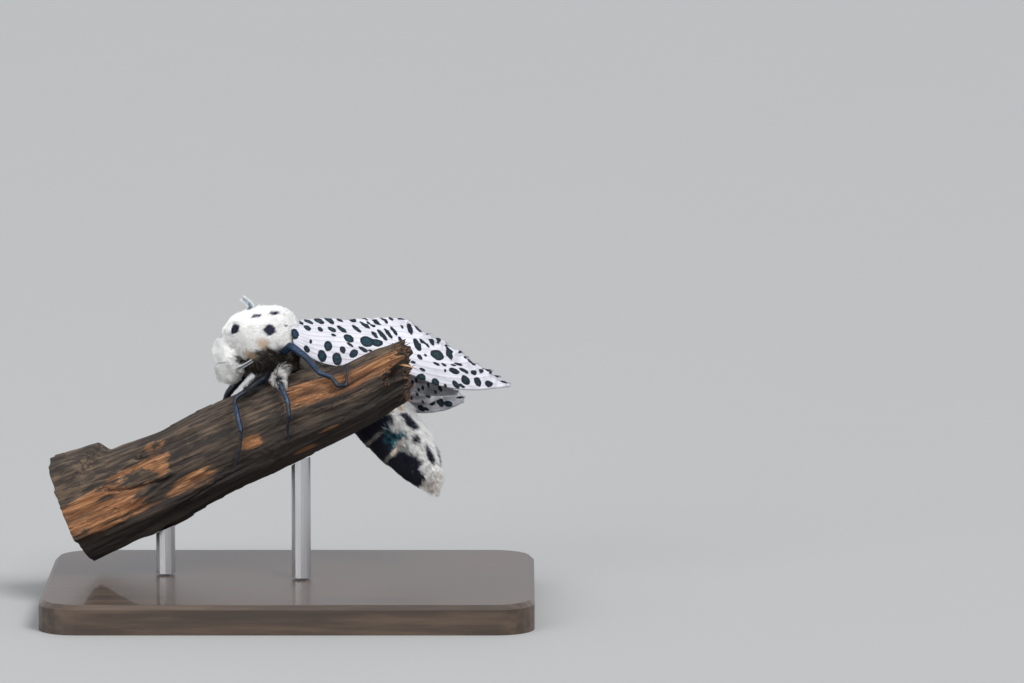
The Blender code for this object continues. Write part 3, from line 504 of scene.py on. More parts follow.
class Roots:
    """Places on a surface where hair grows: points, outward normals, the way along, markings."""

    def __init__(self, point, normal, along, station, turn, unwrap):
        self.point, self.normal, self.along = point, unit(normal), unit(along)
        self.station, self.turn, self.unwrap = station, turn, unwrap
        self.side = unit(np.cross(self.normal, self.along))

    def pick(self, keep):
        """The roots that the mask keeps."""
        return Roots(*(each[keep] for each in (
            self.point, self.normal, self.along, self.station, self.turn, self.unwrap)))


def scatter(count, seed):
    """Evenly spread pairs from 0 to 1, by the additive sequence of the plastic number."""
    plastic = 1.324717957244746
    k = np.arange(1, count + 1) + seed * 7919
    return (0.5 + k / plastic) % 1.0, (0.5 + k / plastic**2) % 1.0


def roots_on(form, tile, count, depth, first, last, seed, density=None):
    """Roots spread evenly by area between two stations, under the outline by depth.

    A candidate stays with a chance equal to the area that its cell stands for, times the density.
    """
    count = int(count * WOOL_SHARE)
    u, v = scatter(count * 5, seed)
    station, turn = first + (last - first) * u, -math.pi + 2.0 * math.pi * v
    step = 1e-3
    at = lambda place, angle: form(np.clip(place, 0, 1), angle, -depth)
    here = at(station, turn)
    along = at(station + step, turn) - at(station - step, turn)
    about = at(station, turn + step) - at(station, turn - step)
    normal = np.cross(along, about)
    area = np.linalg.norm(normal, axis=1)
    inside = form(station, turn, -depth - 0.2)
    normal = normal * np.sign(((here - inside) * normal).sum(axis=1))[:, None]
    weight = area / area.max()
    if density is not None:
        weight = weight * density(station, turn)
    chance = np.random.default_rng(seed).random(len(weight))
    keep = np.flatnonzero(chance < weight)[:count]
    start, width = UNWRAP[tile]
    unwrap = np.column_stack([start + width * station, 0.5 + turn / (2.0 * math.pi)])
    return Roots(here, normal, along, station, turn, unwrap).pick(keep)


def roots_on_rings(rings, count, seed, first, last, row=0.0):
    """Roots spread over rings of surface points between two shares of their length.

    A root takes the nearest point to an even pair of shares; its normal is the cross product of
    the two directions there, turned to point away from the middle of its ring.
    """
    rows, columns, _ = rings.shape
    u, v = scatter(count, seed)
    i = np.clip(((first + (last - first) * u) * (rows - 1)).astype(int), 0, rows - 1)
    j = np.clip((v * columns).astype(int), 0, columns - 1)
    along = np.gradient(rings, axis=0)
    about = np.roll(rings, -1, 1) - np.roll(rings, 1, 1)
    normal = np.cross(along, about)[i, j]
    away = rings[i, j] - rings.mean(axis=1)[i]
    normal = normal * np.sign((away * normal).sum(axis=1))[:, None]
    start, width = UNWRAP["limb"]
    unwrap = np.column_stack([start + width * u, row + 0.1 * v])
    return Roots(rings[i, j], normal, along[i, j], i / (rows - 1.0), 2.0 * math.pi * v, unwrap)


def across_surface(roots, way):
    """The part of a direction that lies along the surface at each root, one unit long."""
    way = np.broadcast_to(way, roots.normal.shape)
    return unit(way - roots.normal * (way * roots.normal).sum(axis=1, keepdims=True))


def comb(roots, length, start, end, lie=None, stray=0.25, seed=0, clump=0.0, clumps=200, sections=2,
         swirl=0.0, tuft=1.1):
    """Centre lines of the hairs: each leaves at the start angle and bends over to the end angle.

    A step of the line is length / sections along cos(angle) * lie + sin(angle) * normal. Noise
    about as wide as a tuft turns neighbours the same way by the swirl and makes them longer or
    shorter. Tips are drawn towards the nearest of some clump centres by the clump share.
    """
    draw = np.random.default_rng(seed)
    count = len(roots.point)
    lie = roots.along if lie is None else lie
    lie = unit(lie) * np.minimum(np.linalg.norm(lie, axis=1, keepdims=True), 1.0)
    sway = (draw.normal(0.0, stray, count) + swirl * noise(roots.point / tuft, 101))[:, None]
    lie = lie + swirl * roots.along * noise(roots.point / tuft, 102)[:, None]
    length = length * (1.0 + 0.5 * swirl * noise(roots.point / tuft, 103))
    lie = unit(lie + roots.side * sway)
    normal = unit(roots.normal + roots.side * draw.normal(0.0, 0.35 * stray, count)[:, None])
    size = np.broadcast_to(length, count) * draw.uniform(0.75, 1.15, count)
    lines = [roots.point]
    for k in range(sections):
        angle = np.broadcast_to(start + (end - start) * k / (sections - 1), count)[:, None]
        angle = angle + draw.normal(0.0, 0.12, count)[:, None]
        lines.append(lines[-1] + (np.cos(angle) * lie + np.sin(angle) * normal) * (size / sections)[:, None])
    lines = np.stack(lines, 1)
    if clump > 0.0:
        centres = draw.choice(count, min(clumps, count), replace=False)
        nearest = ((lines[:, None, 0] - lines[None, centres, 0]) ** 2).sum(-1).argmin(1)
        target = lines[centres][nearest]
        pull = clump * np.linspace(0.0, 1.0, sections + 1)[None, :, None] ** 1.5
        lines = lines + (target - lines) * pull * draw.uniform(0.5, 1.0, count)[:, None, None]
    return lines


def tips_on(lines, stations, up=(0.0, 0.0, 1.0)):
    """Station and turn of the places that the hairs cover, near their tips, on a form."""
    return where_on(stations, up, 0.4 * lines[:, -2] + 0.6 * lines[:, -1])[:2]


def mottled(marks, seed, share=0.9):
    """The same markings with each hair either dark or pale, mixed along the borders."""
    draw = np.random.default_rng(seed).random(len(marks["spot"]))
    return {**marks, "spot": smooth(0.4, 0.6, marks["spot"] + share * (draw - 0.5))}


def hairs(name, roots, lines, width, finish, fields, sides=3, flat=1.0):
    """A coat as one mesh: each hair a thin closed horn of a few sides about its centre line.

    The radius falls from the width at the root to nothing at the tip; flat squashes the horn
    along the normal. Every hair keeps a patch of its own in the unwrap, at its root's place.
    """
    draw = np.random.default_rng(5)
    count, knots, _ = lines.shape
    way = unit(np.gradient(lines, axis=1))
    side = unit(np.cross(way, roots.normal[:, None, :] + 0.01))
    other = np.cross(side, way)
    twist = draw.uniform(0.0, 2.0 * math.pi, count)[:, None, None] if flat == 1.0 else 0.0
    angle = np.arange(sides)[None, None, :] * 2.0 * math.pi / sides + twist
    share = np.linspace(0.0, 1.0, knots)[:-1]
    taper = (1.0 - share**1.6) * (0.75 + 0.25 * np.sin(math.pi * np.minimum(share * 2.0, 1.0)))
    radius = np.broadcast_to(width, count)[:, None, None] * taper[None, :, None]
    ring = side[:, :-1, None] * (np.cos(angle) * radius)[..., None]
    ring = ring + other[:, :-1, None] * (np.sin(angle) * radius * flat)[..., None]
    body = (lines[:, :-1, None] + ring).reshape(count, -1, 3)
    points = np.concatenate([body, lines[:, -1:]], axis=1)
    per = points.shape[1]
    pairs = [(j, (j + 1) % sides) for j in range(sides)]
    walls = [(low + a, low + b, low + b + sides, low + a + sides)
             for low in range(0, (knots - 2) * sides, sides) for a, b in pairs]
    top = (knots - 2) * sides
    tips = [(top + a, top + b, per - 1) for a, b in pairs]
    cap = [tuple(range(sides))[::-1]]
    offset = (np.arange(count) * per)[:, None, None]
    faces = [(np.array(each)[None] + offset).reshape(-1, len(each[0])) for each in (walls, tips, cap)]
    across = np.append(np.tile(np.arange(sides) / (sides - 1.0), knots - 1), 0.5) - 0.5
    along = np.append(np.repeat(share, sides), 1.0)
    patch = np.stack([across, along - 0.5], -1) * PATCH
    uv = (roots.unwrap[:, None, :] + patch[None]).reshape(-1, 2)
    every = {key: np.repeat(np.broadcast_to(value, count), per) for key, value in fields.items()}
    every["run"] = np.tile(along, count)
    every["tone"] = np.repeat(draw.random(count), per)
    return add_mesh(name, points.reshape(-1, 3), faces, finish, every, uv)


# Markings


def nearest_turn(form, station, turn, spot):
    """Distance in mm from places on a form to a spot, over its half length and half width."""
    middle = form(spot[0], spot[1], 0.0)
    step = 0.01
    along = unit(form(spot[0] + step, spot[1], 0.0) - form(spot[0] - step, spot[1], 0.0))
    about = unit(form(spot[0], spot[1] + step, 0.0) - form(spot[0], spot[1] - step, 0.0))
    away = form(station, turn, 0.0) - middle
    apart = np.abs((away * np.cross(along, about)).sum(-1)) / 2.0
    parts = np.abs([(away * along).sum(-1) / spot[2], (away * about).sum(-1) / spot[3]])
    return np.hypot((parts ** spot[4]).sum(0) ** (1.0 / spot[4]), apart)


def spotted(form, station, turn, spots, ragged):
    """1 inside any of the spots and 0 outside, with ragged edges."""
    wobble = ragged * noise(form(station, turn, 0.0) * 2.2, 3)
    inside = np.zeros(np.shape(station))
    for spot in spots:
        inside = np.maximum(inside, smooth(1.08, 0.92, nearest_turn(form, station, turn, spot) + wobble))
    return inside


def blob(station, turn, spot):
    """A soft patch on a form: 1 at its station and turn, 0 from its reach along and about on."""
    return smooth(1.0, 0.3, np.hypot((station - spot[0]) / spot[2], (turn - spot[1]) / spot[3]))


def thorax_marks(station, turn):
    """Markings of the thorax: blue-black spots above, brown and near-black hair below, partly painted shade.
    """
    edge = np.interp(station, *zip(*THORAX_BORDER)) + 0.14 * noise(thorax_form(station, turn, 0.0), 8)
    tan = 0.8 * blob(station, turn, (0.42, 1.5, 0.08, 0.22))
    return {
        "spot": spotted(thorax_form, station, turn, THORAX_SPOTS, 0.1),
        "under": smooth(edge - 0.07, edge + 0.07, np.abs(turn)),
        "tan": np.maximum(tan, 0.75 * blob(station, turn, (0.34, 1.98, 0.1, 0.22))),
    }


def abdomen_marks(station, turn):
    """Markings of the abdomen: white hair along the back, blue-black plates with pale hind rims."""
    place = abdomen_form(station, turn, 0.0)
    wobble = 0.12 * noise(place * 0.9, 21) + 0.06 * noise(place * 2.6, 22)
    side = np.abs(turn) + wobble
    along = (station * ABDOMEN_SEGMENTS + 0.2 * wobble) % 1.0
    border = 1.5 - 0.38 * smooth(0.0, 0.8, along) + 0.1 * smooth(0.87, 0.93, station)
    plate = smooth(border - 0.16, border + 0.1, side)
    rim = smooth(0.78, 0.86, along) * smooth(1.0, 0.97, along) * smooth(0.3, 0.5, station)
    rim = rim * (0.25 + blob(station, np.abs(turn), (0.745, 1.6, 0.06, 0.6))) * smooth(0.84, 0.8, station)
    tip = smooth(0.925, 0.945, station)
    front = smooth(0.3, 0.2, station)
    spots = spotted(abdomen_form, station, turn, ABDOMEN_SPOTS, 0.25)
    dark = np.maximum(plate * (1.0 - rim), spots) * (1.0 - tip) * (1.0 - front)
    # Painted sheen: teal on the blue-black plates of the sides
    teal = smooth(-0.15, 0.25, noise(place * 2.2, 31)) * blob(station, np.abs(turn), (0.69, 1.42, 0.1, 0.6))
    flank = front * smooth(1.1, 1.5, side)
    buff = blob(station, turn, (0.579, 0.66, 0.035, 0.16)) + 0.5 * rim * plate + 0.3 * flank
    brown = 0.6 * blob(station, turn, (0.975, 1.3, 0.03, 0.8)) + 0.35 * flank
    return {"spot": dark, "under": brown, "tan": np.clip(buff + 0.2 * tip, 0.0, 1.0), "teal": teal}


def head_marks(station, turn):
    """Markings of the head: white, with a pale brown shade by the eye and a thin dark parting."""
    parting = smooth(0.03, 0.012, np.abs(station - 0.46)) * smooth(1.5, 1.0, np.abs(turn))
    shade = blob(station, np.abs(turn), (0.5, 2.2, 0.1, 0.5))
    return {"spot": 0.6 * parting, "under": 0.25 * shade, "tan": 0.4 * shade}


# Finishes


class Socket:
    """An output of a material's node, on which Python's operators add Math nodes."""

    def __init__(self, finish, link):
        self.finish, self.link = finish, link

    def math(self, operation, *values):
        """A Math node on these values."""
        return self.finish.node("ShaderNodeMath", {"operation": operation}, dict(enumerate(values)))

    def __add__(self, other):
        return self.math("ADD", self, other)

    def __radd__(self, other):
        return self.math("ADD", other, self)

    def __sub__(self, other):
        return self.math("SUBTRACT", self, other)

    def __rsub__(self, other):
        return self.math("SUBTRACT", other, self)

    def __mul__(self, other):
        return self.math("MULTIPLY", self, other)

    def __rmul__(self, other):
        return self.math("MULTIPLY", other, self)


def scaled(colour, factor):
    """A darker or lighter colour of the same hue."""
    return tuple(factor * c for c in colour)


class Finish:
    """A Principled material whose nodes are written as expressions."""

    def __init__(self, name, roughness=0.6, **constants):
        self.material = bpy.data.materials.new(name)
        self.material.use_nodes = True
        self.tree = self.material.node_tree
        self.shader = self.tree.nodes["Principled BSDF"]
        self.shader.inputs["Roughness"].default_value = roughness
        for key, value in constants.items():
            self.shader.inputs[key.replace("_", " ")].default_value = value

    def node(self, kind, settings, sockets, out=0):
        """One node: its type, its settings, the values or links of its sockets; its output."""
        made = self.tree.nodes.new(kind)
        for key, value in settings.items():
            setattr(made, key, value)
        for key, value in sockets.items():
            if isinstance(value, Socket):
                self.tree.links.new(value.link, made.inputs[key])
            else:
                made.inputs[key].default_value = value
        return Socket(self, made.outputs[out])

    def field(self, name):
        """A float attribute of the mesh."""
        return self.node("ShaderNodeAttribute", {"attribute_name": name}, {}, "Fac")

    def place(self, stretch=(1.0, 1.0, 1.0)):
        """The place on the object in mm, times a stretch."""
        where = self.node("ShaderNodeTexCoord", {}, {}, "Object")
        scale = [s / MM for s in stretch]
        return self.node("ShaderNodeVectorMath", {"operation": "MULTIPLY"}, {0: where, 1: scale})

    def fibres(self, way, fine, long):
        """The place in mm, times fine, and along the way times long: noise there makes fibres."""
        vector = lambda operation, sockets, out=0: self.node(
            "ShaderNodeVectorMath", {"operation": operation}, sockets, out)
        where = self.place((fine, fine, fine))
        share = vector("DOT_PRODUCT", {0: where, 1: way}, "Value")
        shift = vector("SCALE", {0: way, "Scale": share * (long / fine - 1.0)})
        return vector("ADD", {0: where, 1: shift})

    def grain(self, where, scale, detail=3.0, rough=0.55):
        """Noise from 0 to 1 at a place."""
        return self.node("ShaderNodeTexNoise", {}, {"Vector": where, "Scale": scale, "Detail": detail,
                                                   "Roughness": rough})

    def step(self, value, low, high):
        """A soft step from 0 at low to 1 at high."""
        return self.node("ShaderNodeMapRange", {"interpolation_type": "SMOOTHSTEP"},
                         {"Value": value, "From Min": low, "From Max": high})

    def mix(self, factor, first, second):
        """A colour between two."""
        colour = lambda c: c if isinstance(c, Socket) else (*c[:3], 1.0)
        inputs = {0: factor, 6: colour(first), 7: colour(second)}
        return self.node("ShaderNodeMix", {"data_type": "RGBA"}, inputs, 2)

    def bump(self, height, strength, depth):
        """A bump of a given depth in mm on the shader's normal."""
        inputs = {"Height": height, "Strength": strength, "Distance": depth * MM}
        made = self.node("ShaderNodeBump", {}, inputs)
        self.tree.links.new(made.link, self.shader.inputs["Normal"])

    def set(self, name, value):
        """Link or set a socket of the shader."""
        if isinstance(value, Socket):
            self.tree.links.new(value.link, self.shader.inputs[name])
        else:
            self.shader.inputs[name].default_value = value


def colour_property(name, description, value):
    """A colour that a user would change."""
    return FloatVectorProperty(name=name, description=description, default=value, subtype="COLOR", size=3,
                               min=0.0, max=1.0)


def length_property(name, description, value):
    """A length in metres."""
    return FloatProperty(name=name, description=description, default=value, subtype="DISTANCE", unit="LENGTH",
                         min=0.0)


class CoatSettings(PropertyGroup):
    """Sizes and colours of the moth's hair."""

    thorax_hair: length_property("Thorax hair", "Length of the wool on the thorax", 0.00115)
    head_hair: length_property("Head hair", "Length of the wool on the head", 0.00085)
    abdomen_hair: length_property("Abdomen hair", "Length of the hair along the abdomen's back", 0.00125)
    white: colour_property("White wool", "Colour of the head and thorax", (0.96, 0.955, 0.94))
    # The cream at the roots stands partly for painted shade deep in the coat
    cream: colour_property("Cream wool", "Colour near the roots and at the tail", (0.86, 0.82, 0.75))
    dark: colour_property("Spots", "Blue-black of the spots and plates", (0.007, 0.0075, 0.014))
    # Near-black hair below the thorax and on the foreleg, partly painted shade under the thorax
    brown: colour_property("Brown hair", "Colour of the hair below the thorax", (0.012, 0.010, 0.009))
    tan: colour_property("Tan hair", "Colour of the tan patches", (0.62, 0.42, 0.24))
    # The teal is a painted sheen of the side plates
    teal: colour_property("Teal scales", "Glint of the abdomen's side", (0.02, 0.15, 0.22))


class WingSettings(PropertyGroup):
    """Sizes and colours of the wings."""

    thickness: length_property("Thickness", "Thickness of the wings", 0.0003)
    vein_height: length_property("Vein height", "How far a vein stands out", 0.00006)
    membrane: colour_property("Wing", "Colour between the spots", (0.49, 0.495, 0.54))
    vein: colour_property("Veins", "Colour of the veins", (0.34, 0.29, 0.30))
    spot: colour_property("Wing spots", "Blue-black of the spots", (0.004, 0.009, 0.016))
    teal: colour_property("Spot centre", "Teal inside the larger spots", (0.008, 0.055, 0.075))
    blue: colour_property("Base spot", "Blue of the spot at the wing's base", (0.012, 0.06, 0.16))
    green: colour_property("Tip spots", "Green inside the spots near the tip", (0.016, 0.05, 0.026))


class LegSettings(PropertyGroup):
    """Colours of the legs, feelers and eyes."""

    black: colour_property("Legs", "Blue-black of the legs", (0.006, 0.008, 0.014))
    # Also the colour of the painted highlights on the legs
    blue: colour_property("Leg scales", "Bright blue scales", (0.012, 0.08, 0.21))
    feeler: colour_property("Feelers", "Pale blue grey of the feelers", (0.42, 0.5, 0.56))
    eye: colour_property("Eyes", "Colour of the eyes", (0.015, 0.010, 0.008))


class PerchSettings(PropertyGroup):
    """Sizes and colours of the branch and the stand."""

    grain_depth: length_property("Grain depth", "Depth of the wood's grain", 0.00022)
    crack_depth: length_property("Crack depth", "Depth of the long cracks", 0.0007)
    grey: colour_property("Weathered wood", "Grey brown of the old surface", (0.105, 0.071, 0.044))
    dark: colour_property("Dark wood", "Colour of cracks and shaded wood", (0.016, 0.010, 0.007))
    # The torn grain's orange is also the colour of the painted light on the near side
    fresh: colour_property("Torn wood", "Orange brown of the torn grain", (0.21, 0.083, 0.028))
    pale: colour_property("Splinters", "Pale splinters", (0.36, 0.195, 0.09))
    base: colour_property("Base", "Stain of the stand's base", (0.03, 0.019, 0.012))
    steel: colour_property("Rods", "Steel of the stand's rods", (0.55, 0.55, 0.56))


class StageSettings(PropertyGroup):
    """Floor, light and camera."""

    floor: colour_property("Floor", "Colour of the plain floor", (0.3, 0.303, 0.3))
    key_power: FloatProperty(name="Key light", description="Strength of the main light", default=3.0, min=0.0)
    fill_power: FloatProperty(name="Fill light", description="Power of the soft light from the left",
                              default=3.4, min=0.0, unit="POWER")
    surround: FloatProperty(name="Surround", description="Strength of the light from all round", default=0.9,
                            min=0.0)
    tilt: FloatProperty(name="Camera tilt", description="How far the camera looks down",
                        default=VIEW_TILT, subtype="ANGLE")
    view_width: length_property("View width", "Width that the picture spans at the moth", 0.13824)
    view_distance: length_property("View distance", "From the camera to the moth", 0.9)
    view_centre: FloatVectorProperty(name="View centre", description="Middle of the picture", size=3,
                                     default=(0.02997, 0.00133, 0.036), subtype="TRANSLATION", unit="LENGTH")


def wool_finish(settings, name):
    """White wool: cream at the roots, partly painted shade deep in the coat, with the fields' spots, brown
    parts that are partly painted shade under the thorax, tan parts and a painted glint.
    """
    finish = Finish(name, 0.85, Specular_IOR_Level=0.2, Subsurface_Weight=0.5, Subsurface_Scale=0.3 * MM,
                    Subsurface_Radius=(1.0, 1.0, 1.0))
    run, tone = finish.field("run"), finish.field("tone")
    # Painted shade in part: cream near the roots, where the coat is deep
    base = finish.mix(finish.step(run, 0.0, 0.4), settings.cream, settings.white)
    base = finish.mix(0.15 * tone, base, settings.cream)
    brown = finish.mix(finish.step(tone, 0.8, 1.3), settings.brown, settings.tan)
    # Painted shade in part: the near-black hair below the thorax
    base = finish.mix(finish.field("under"), base, brown)
    base = finish.mix(finish.field("tan"), base, settings.tan)
    # Painted sheen: teal over the blue-black where the teal field says
    glint = finish.mix(finish.field("teal"), settings.dark, settings.teal)
    finish.set("Base Color", finish.mix(finish.field("spot"), base, glint))
    return finish.material


# Pieces


def skin_height(station, turn):
    """The abdomen's skin: under its hair along the back, at the outline over the bare plates."""
    back = smooth(1.9, 1.2, np.abs(turn)) * smooth(0.02, 0.1, station)
    return -0.25 - (COAT_DEPTH - 0.25) * np.maximum(back, smooth(0.9, 0.97, station))


def make_skin(finish):
    """One closed skin over thorax, abdomen and head, under their hair.

    The three forms are sampled on grids, fused on a lattice of small cells and read back, so no
    seam shows where they meet.
    """
    station, turn = grid(150, 90)
    parts = (
        thorax_form(station, turn, -COAT_DEPTH),
        abdomen_form(station, turn, skin_height(station, turn)),
        head_core(station, turn, 0.0),
    )
    rough = [closed_mesh("skin_part", rings, finish) for rings in parts]
    bpy.ops.object.select_all(action="DESELECT")
    for each in rough:
        each.select_set(True)
    bpy.context.view_layer.objects.active = rough[0]
    bpy.ops.object.join()
    joined = rough[0]
    remesh = joined.modifiers.new("fuse", "REMESH")
    remesh.mode = "VOXEL"
    remesh.voxel_size = SKIN_CELL * MM
    soften = joined.modifiers.new("soften", "SMOOTH")
    soften.factor, soften.iterations = 0.5, 4
    mesh = bpy.data.meshes.new_from_object(joined.evaluated_get(bpy.context.evaluated_depsgraph_get()))
    points = np.empty(len(mesh.vertices) * 3)
    mesh.vertices.foreach_get("co", points)
    points = points.reshape(-1, 3) / MM
    loops = np.empty(len(mesh.loops), np.int32)
    mesh.loops.foreach_get("vertex_index", loops)
    totals = np.empty(len(mesh.polygons), np.int32)
    mesh.polygons.foreach_get("loop_total", totals)
    bpy.data.objects.remove(joined)
    if (totals != 4).any():
        raise RuntimeError("the fused skin has faces of other than four sides")
    return add_mesh("skin", points, [loops.reshape(-1, 4)], finish, skin_marks(points))


def where_on(stations, up, points):
    """Station, turn and distance of points about a centre line, from the nearest of its fine points."""
    line = curve(stations, FINE)[:, :3]
    _, across, upward = frames(line, up)
    nearest = np.concatenate([
        ((part[:, None] - line[None]) ** 2).sum(-1).argmin(1) for part in np.array_split(points, 40)])
    away = points - line[nearest]
    turn = np.arctan2((away * across[nearest]).sum(-1), (away * upward[nearest]).sum(-1))
    return nearest / (FINE - 1.0), turn, np.linalg.norm(away, axis=1)


def skin_marks(points):
    """The coat's markings at points of the skin, from whichever form each point lies on."""
    fields = {key: np.zeros(len(points)) for key in ("spot", "under", "tan", "teal")}
    forms = ((THORAX, (0, 0, 1), thorax_marks), (ABDOMEN, ABDOMEN_UP, abdomen_marks),
             (HEAD, HEAD_UP, head_marks))
    placed = [(*where_on(line, up, points), marks, np.asarray(line)) for line, up, marks in forms]
    depth = np.stack([far - np.interp(station, np.linspace(0, 1, len(line)), line[:, 3])
                      for station, _, far, _, line in placed])
    for k, (station, turn, _, marks, _) in enumerate(placed):
        own = depth.argmin(0) == k
        for key, values in marks(station[own], turn[own]).items():
            fields[key][own] = values
    # The skin takes the colour near the roots, partly painted shade deep in the coat
    fields["run"] = np.full(len(points), 0.15)
    fields["tone"] = 0.5 + 0.5 * noise(points * 3.0, 4)
    return fields


class MOTH_OT_skin(Operator):
    """Make the one skin that lies under the coat of head, thorax and abdomen"""

    bl_idname = "moth.skin"
    bl_label = "Skin"

    def execute(self, context):
        finish = wool_finish(context.scene.moth_coat, "skin")
        ride(make_skin(finish), "coat", "thorax", "abdomen_front", "abdomen_middle", "abdomen_rear", "head")
        return {"FINISHED"}


def clear_of_eyes(roots, reach):
    """True for roots that are further than the reach from both eyes."""
    away = [np.linalg.norm(roots.point - np.array(centre), axis=1) for centre in EYES.values()]
    return np.minimum(*away) > EYE_RADIUS + reach


class MOTH_OT_coat(Operator):
    """Make the wool and hair of thorax, head and abdomen"""

    bl_idname = "moth.coat"
    bl_label = "Coat"

    def execute(self, context):
        settings = context.scene.moth_coat
        finish = wool_finish(settings, "wool")
        length = settings.thorax_hair / MM
        for k, (count, width, reach, clump) in enumerate((
            (13000, 0.12, 0.85, 0.12), (17500, 0.055, 1.0, 0.1), (17500, 0.04, 1.1, 0.1),
        )):
            roots = roots_on(thorax_form, "thorax", count, COAT_DEPTH + 0.05, 0.0, 0.98, 10 + k)
            back = 0.6 + 0.4 * smooth(0.05, 0.45, roots.station)
            flat = smooth(0.3, 0.65, roots.station)
            short = smooth(0.55, 0.85, roots.station) + smooth(0.12, 0.02, roots.station)
            reach = reach * (1.0 - 0.5 * short)
            lines = comb(roots, length * reach, 1.15 - 0.25 * flat, 0.55 - 0.35 * flat,
                         roots.along * back[:, None], seed=20 + k, clump=clump, clumps=700, stray=0.35,
                         swirl=0.45)
            marks = thorax_marks(*tips_on(lines, THORAX))
            ride(hairs(f"coat_thorax_{k + 1}", roots, lines, width, finish, marks), "coat")
        length = settings.head_hair / MM
        for k, (count, width, reach) in enumerate((
            (8500, 0.095, 0.85), (12500, 0.048, 1.05), (12500, 0.036, 1.2),
        )):
            roots = roots_on(head_core, "head", count, 0.05, 0.0, 0.98, 30 + k)
            roots = roots.pick(clear_of_eyes(roots, -0.2))
            lie = across_surface(roots, roots.point - np.array(FACE_CENTRE))
            lash = smooth(EYE_RADIUS + 0.9, EYE_RADIUS + 0.1, np.linalg.norm(
                roots.point - np.array(EYES["eye_left"]), axis=1))
            lines = comb(roots, length * reach * (1.0 + 0.5 * lash), 1.1, 0.3 + 0.5 * lash, lie,
                         seed=40 + k, clump=0.15, clumps=400, stray=0.5, swirl=0.6, tuft=0.7)
            marks = head_marks(*tips_on(lines, HEAD, HEAD_UP))
            ride(hairs(f"coat_head_{k + 1}", roots, lines, width, finish, marks), "coat")
        roots = roots_on(head_core, "head", 9000, 0.05, 0.0, 0.98, 36)
        roots = roots.pick(clear_of_eyes(roots, -0.3) & ~clear_of_eyes(roots, 1.0))
        lines = comb(roots, 2.0, 1.1, 0.45, across_surface(roots, (1.0, 0.0, -0.35)), seed=46, clump=0.3,
                     clumps=60, stray=0.35, swirl=0.3)
        marks = head_marks(roots.station, roots.turn)
        ride(hairs("coat_cheeks", roots, lines, 0.075, finish, marks), "coat")
        # Painted shade in part: a mass of near-black hair fills the hollow under the front of the thorax
        below = lambda station, turn: smooth(1.8, 2.2, np.abs(turn) - 0.9 * smooth(0.4, 0.2, station))
        roots = roots_on(thorax_form, "thorax", 8000, COAT_DEPTH + 0.3, 0.1, 0.9, 80, below)
        reach = 2.0 + 1.4 * smooth(0.5, 0.2, roots.station)
        lines = comb(roots, reach, 1.1, 0.9, across_surface(roots, (0.3, 0.0, -1.0)), seed=82, clump=0.6,
                     clumps=90, stray=0.5, swirl=0.6)
        marks = {"spot": 0.0, "under": 1.0, "tan": 0.0}
        ride(hairs("coat_chest", roots, lines, 0.055, finish, marks), "coat")
        length = settings.abdomen_hair / MM
        back = lambda station, turn: smooth(1.9, 1.2, np.abs(turn) - 1.6 * smooth(0.26, 0.16, station))
        for k, (count, width, reach, start, end) in enumerate(((9000, 0.085, 0.95, 0.9, 0.25),
                                                               (14500, 0.045, 1.15, 1.0, 0.35))):
            roots = roots_on(abdomen_form, "abdomen", count, COAT_DEPTH + 0.05, 0.04, 0.985, 50 + k, back)
            lines = comb(roots, length * reach, start, end, seed=60 + k, clump=0.5, clumps=300, stray=0.3,
                         swirl=0.5)
            marks = mottled(abdomen_marks(*tips_on(lines, ABDOMEN, ABDOMEN_UP)), 65 + k)
            ride(hairs(f"coat_abdomen_{k + 1}", roots, lines, width, finish, marks), "abdomen")
        plates = lambda station, turn: smooth(1.0, 1.4, np.abs(turn))
        roots = roots_on(abdomen_form, "abdomen", 8500, 0.3, 0.03, 0.985, 70, plates)
        lines = comb(roots, 0.5, 0.35, 0.02, seed=71, stray=0.2)
        marks = mottled(abdomen_marks(roots.station, roots.turn), 72, 0.5)
        ride(hairs("coat_abdomen_scales", roots, lines, 0.06, finish, marks, flat=0.3), "abdomen")
        return {"FINISHED"}


def spot_distance(name, middle):
    """Distance in mm from each place on a wing to the rim of the nearest spot, less than 0 inside."""
    rows, columns = middle.shape[:2]
    along = unit(np.gradient(middle, axis=0))
    down = -np.gradient(middle, axis=1)
    down = unit(down - along * (down * along).sum(-1, keepdims=True))
    spots = FOREWING_SPOTS
    if name.startswith("hind"):
        draw = np.random.default_rng(23)
        spots = [(at + 0.05 * (k % 2), share, draw.uniform(0.25, 0.5), draw.uniform(0.12, 0.22), 75.0)
                 for k, share in enumerate(np.linspace(0.06, 0.94, 2 * WINGS[name][2]))
                 for at in np.arange(0.2, 0.95, 0.1)]
    nearest = np.full((rows, columns), 9.0)
    for at, share, length, width, lean in spots:
        i, j = int(at * (rows - 1)), int(share * (columns - 1))
        lean = math.radians(lean)
        axis = math.cos(lean) * along[i, j] + math.sin(lean) * down[i, j]
        away = middle - middle[i, j]
        forward = (away * axis).sum(-1)
        sideways = np.linalg.norm(away - forward[..., None] * axis, axis=-1)
        nearest = np.minimum(nearest, (np.hypot(forward / length, sideways / width) - 1.0) * width)
    return nearest


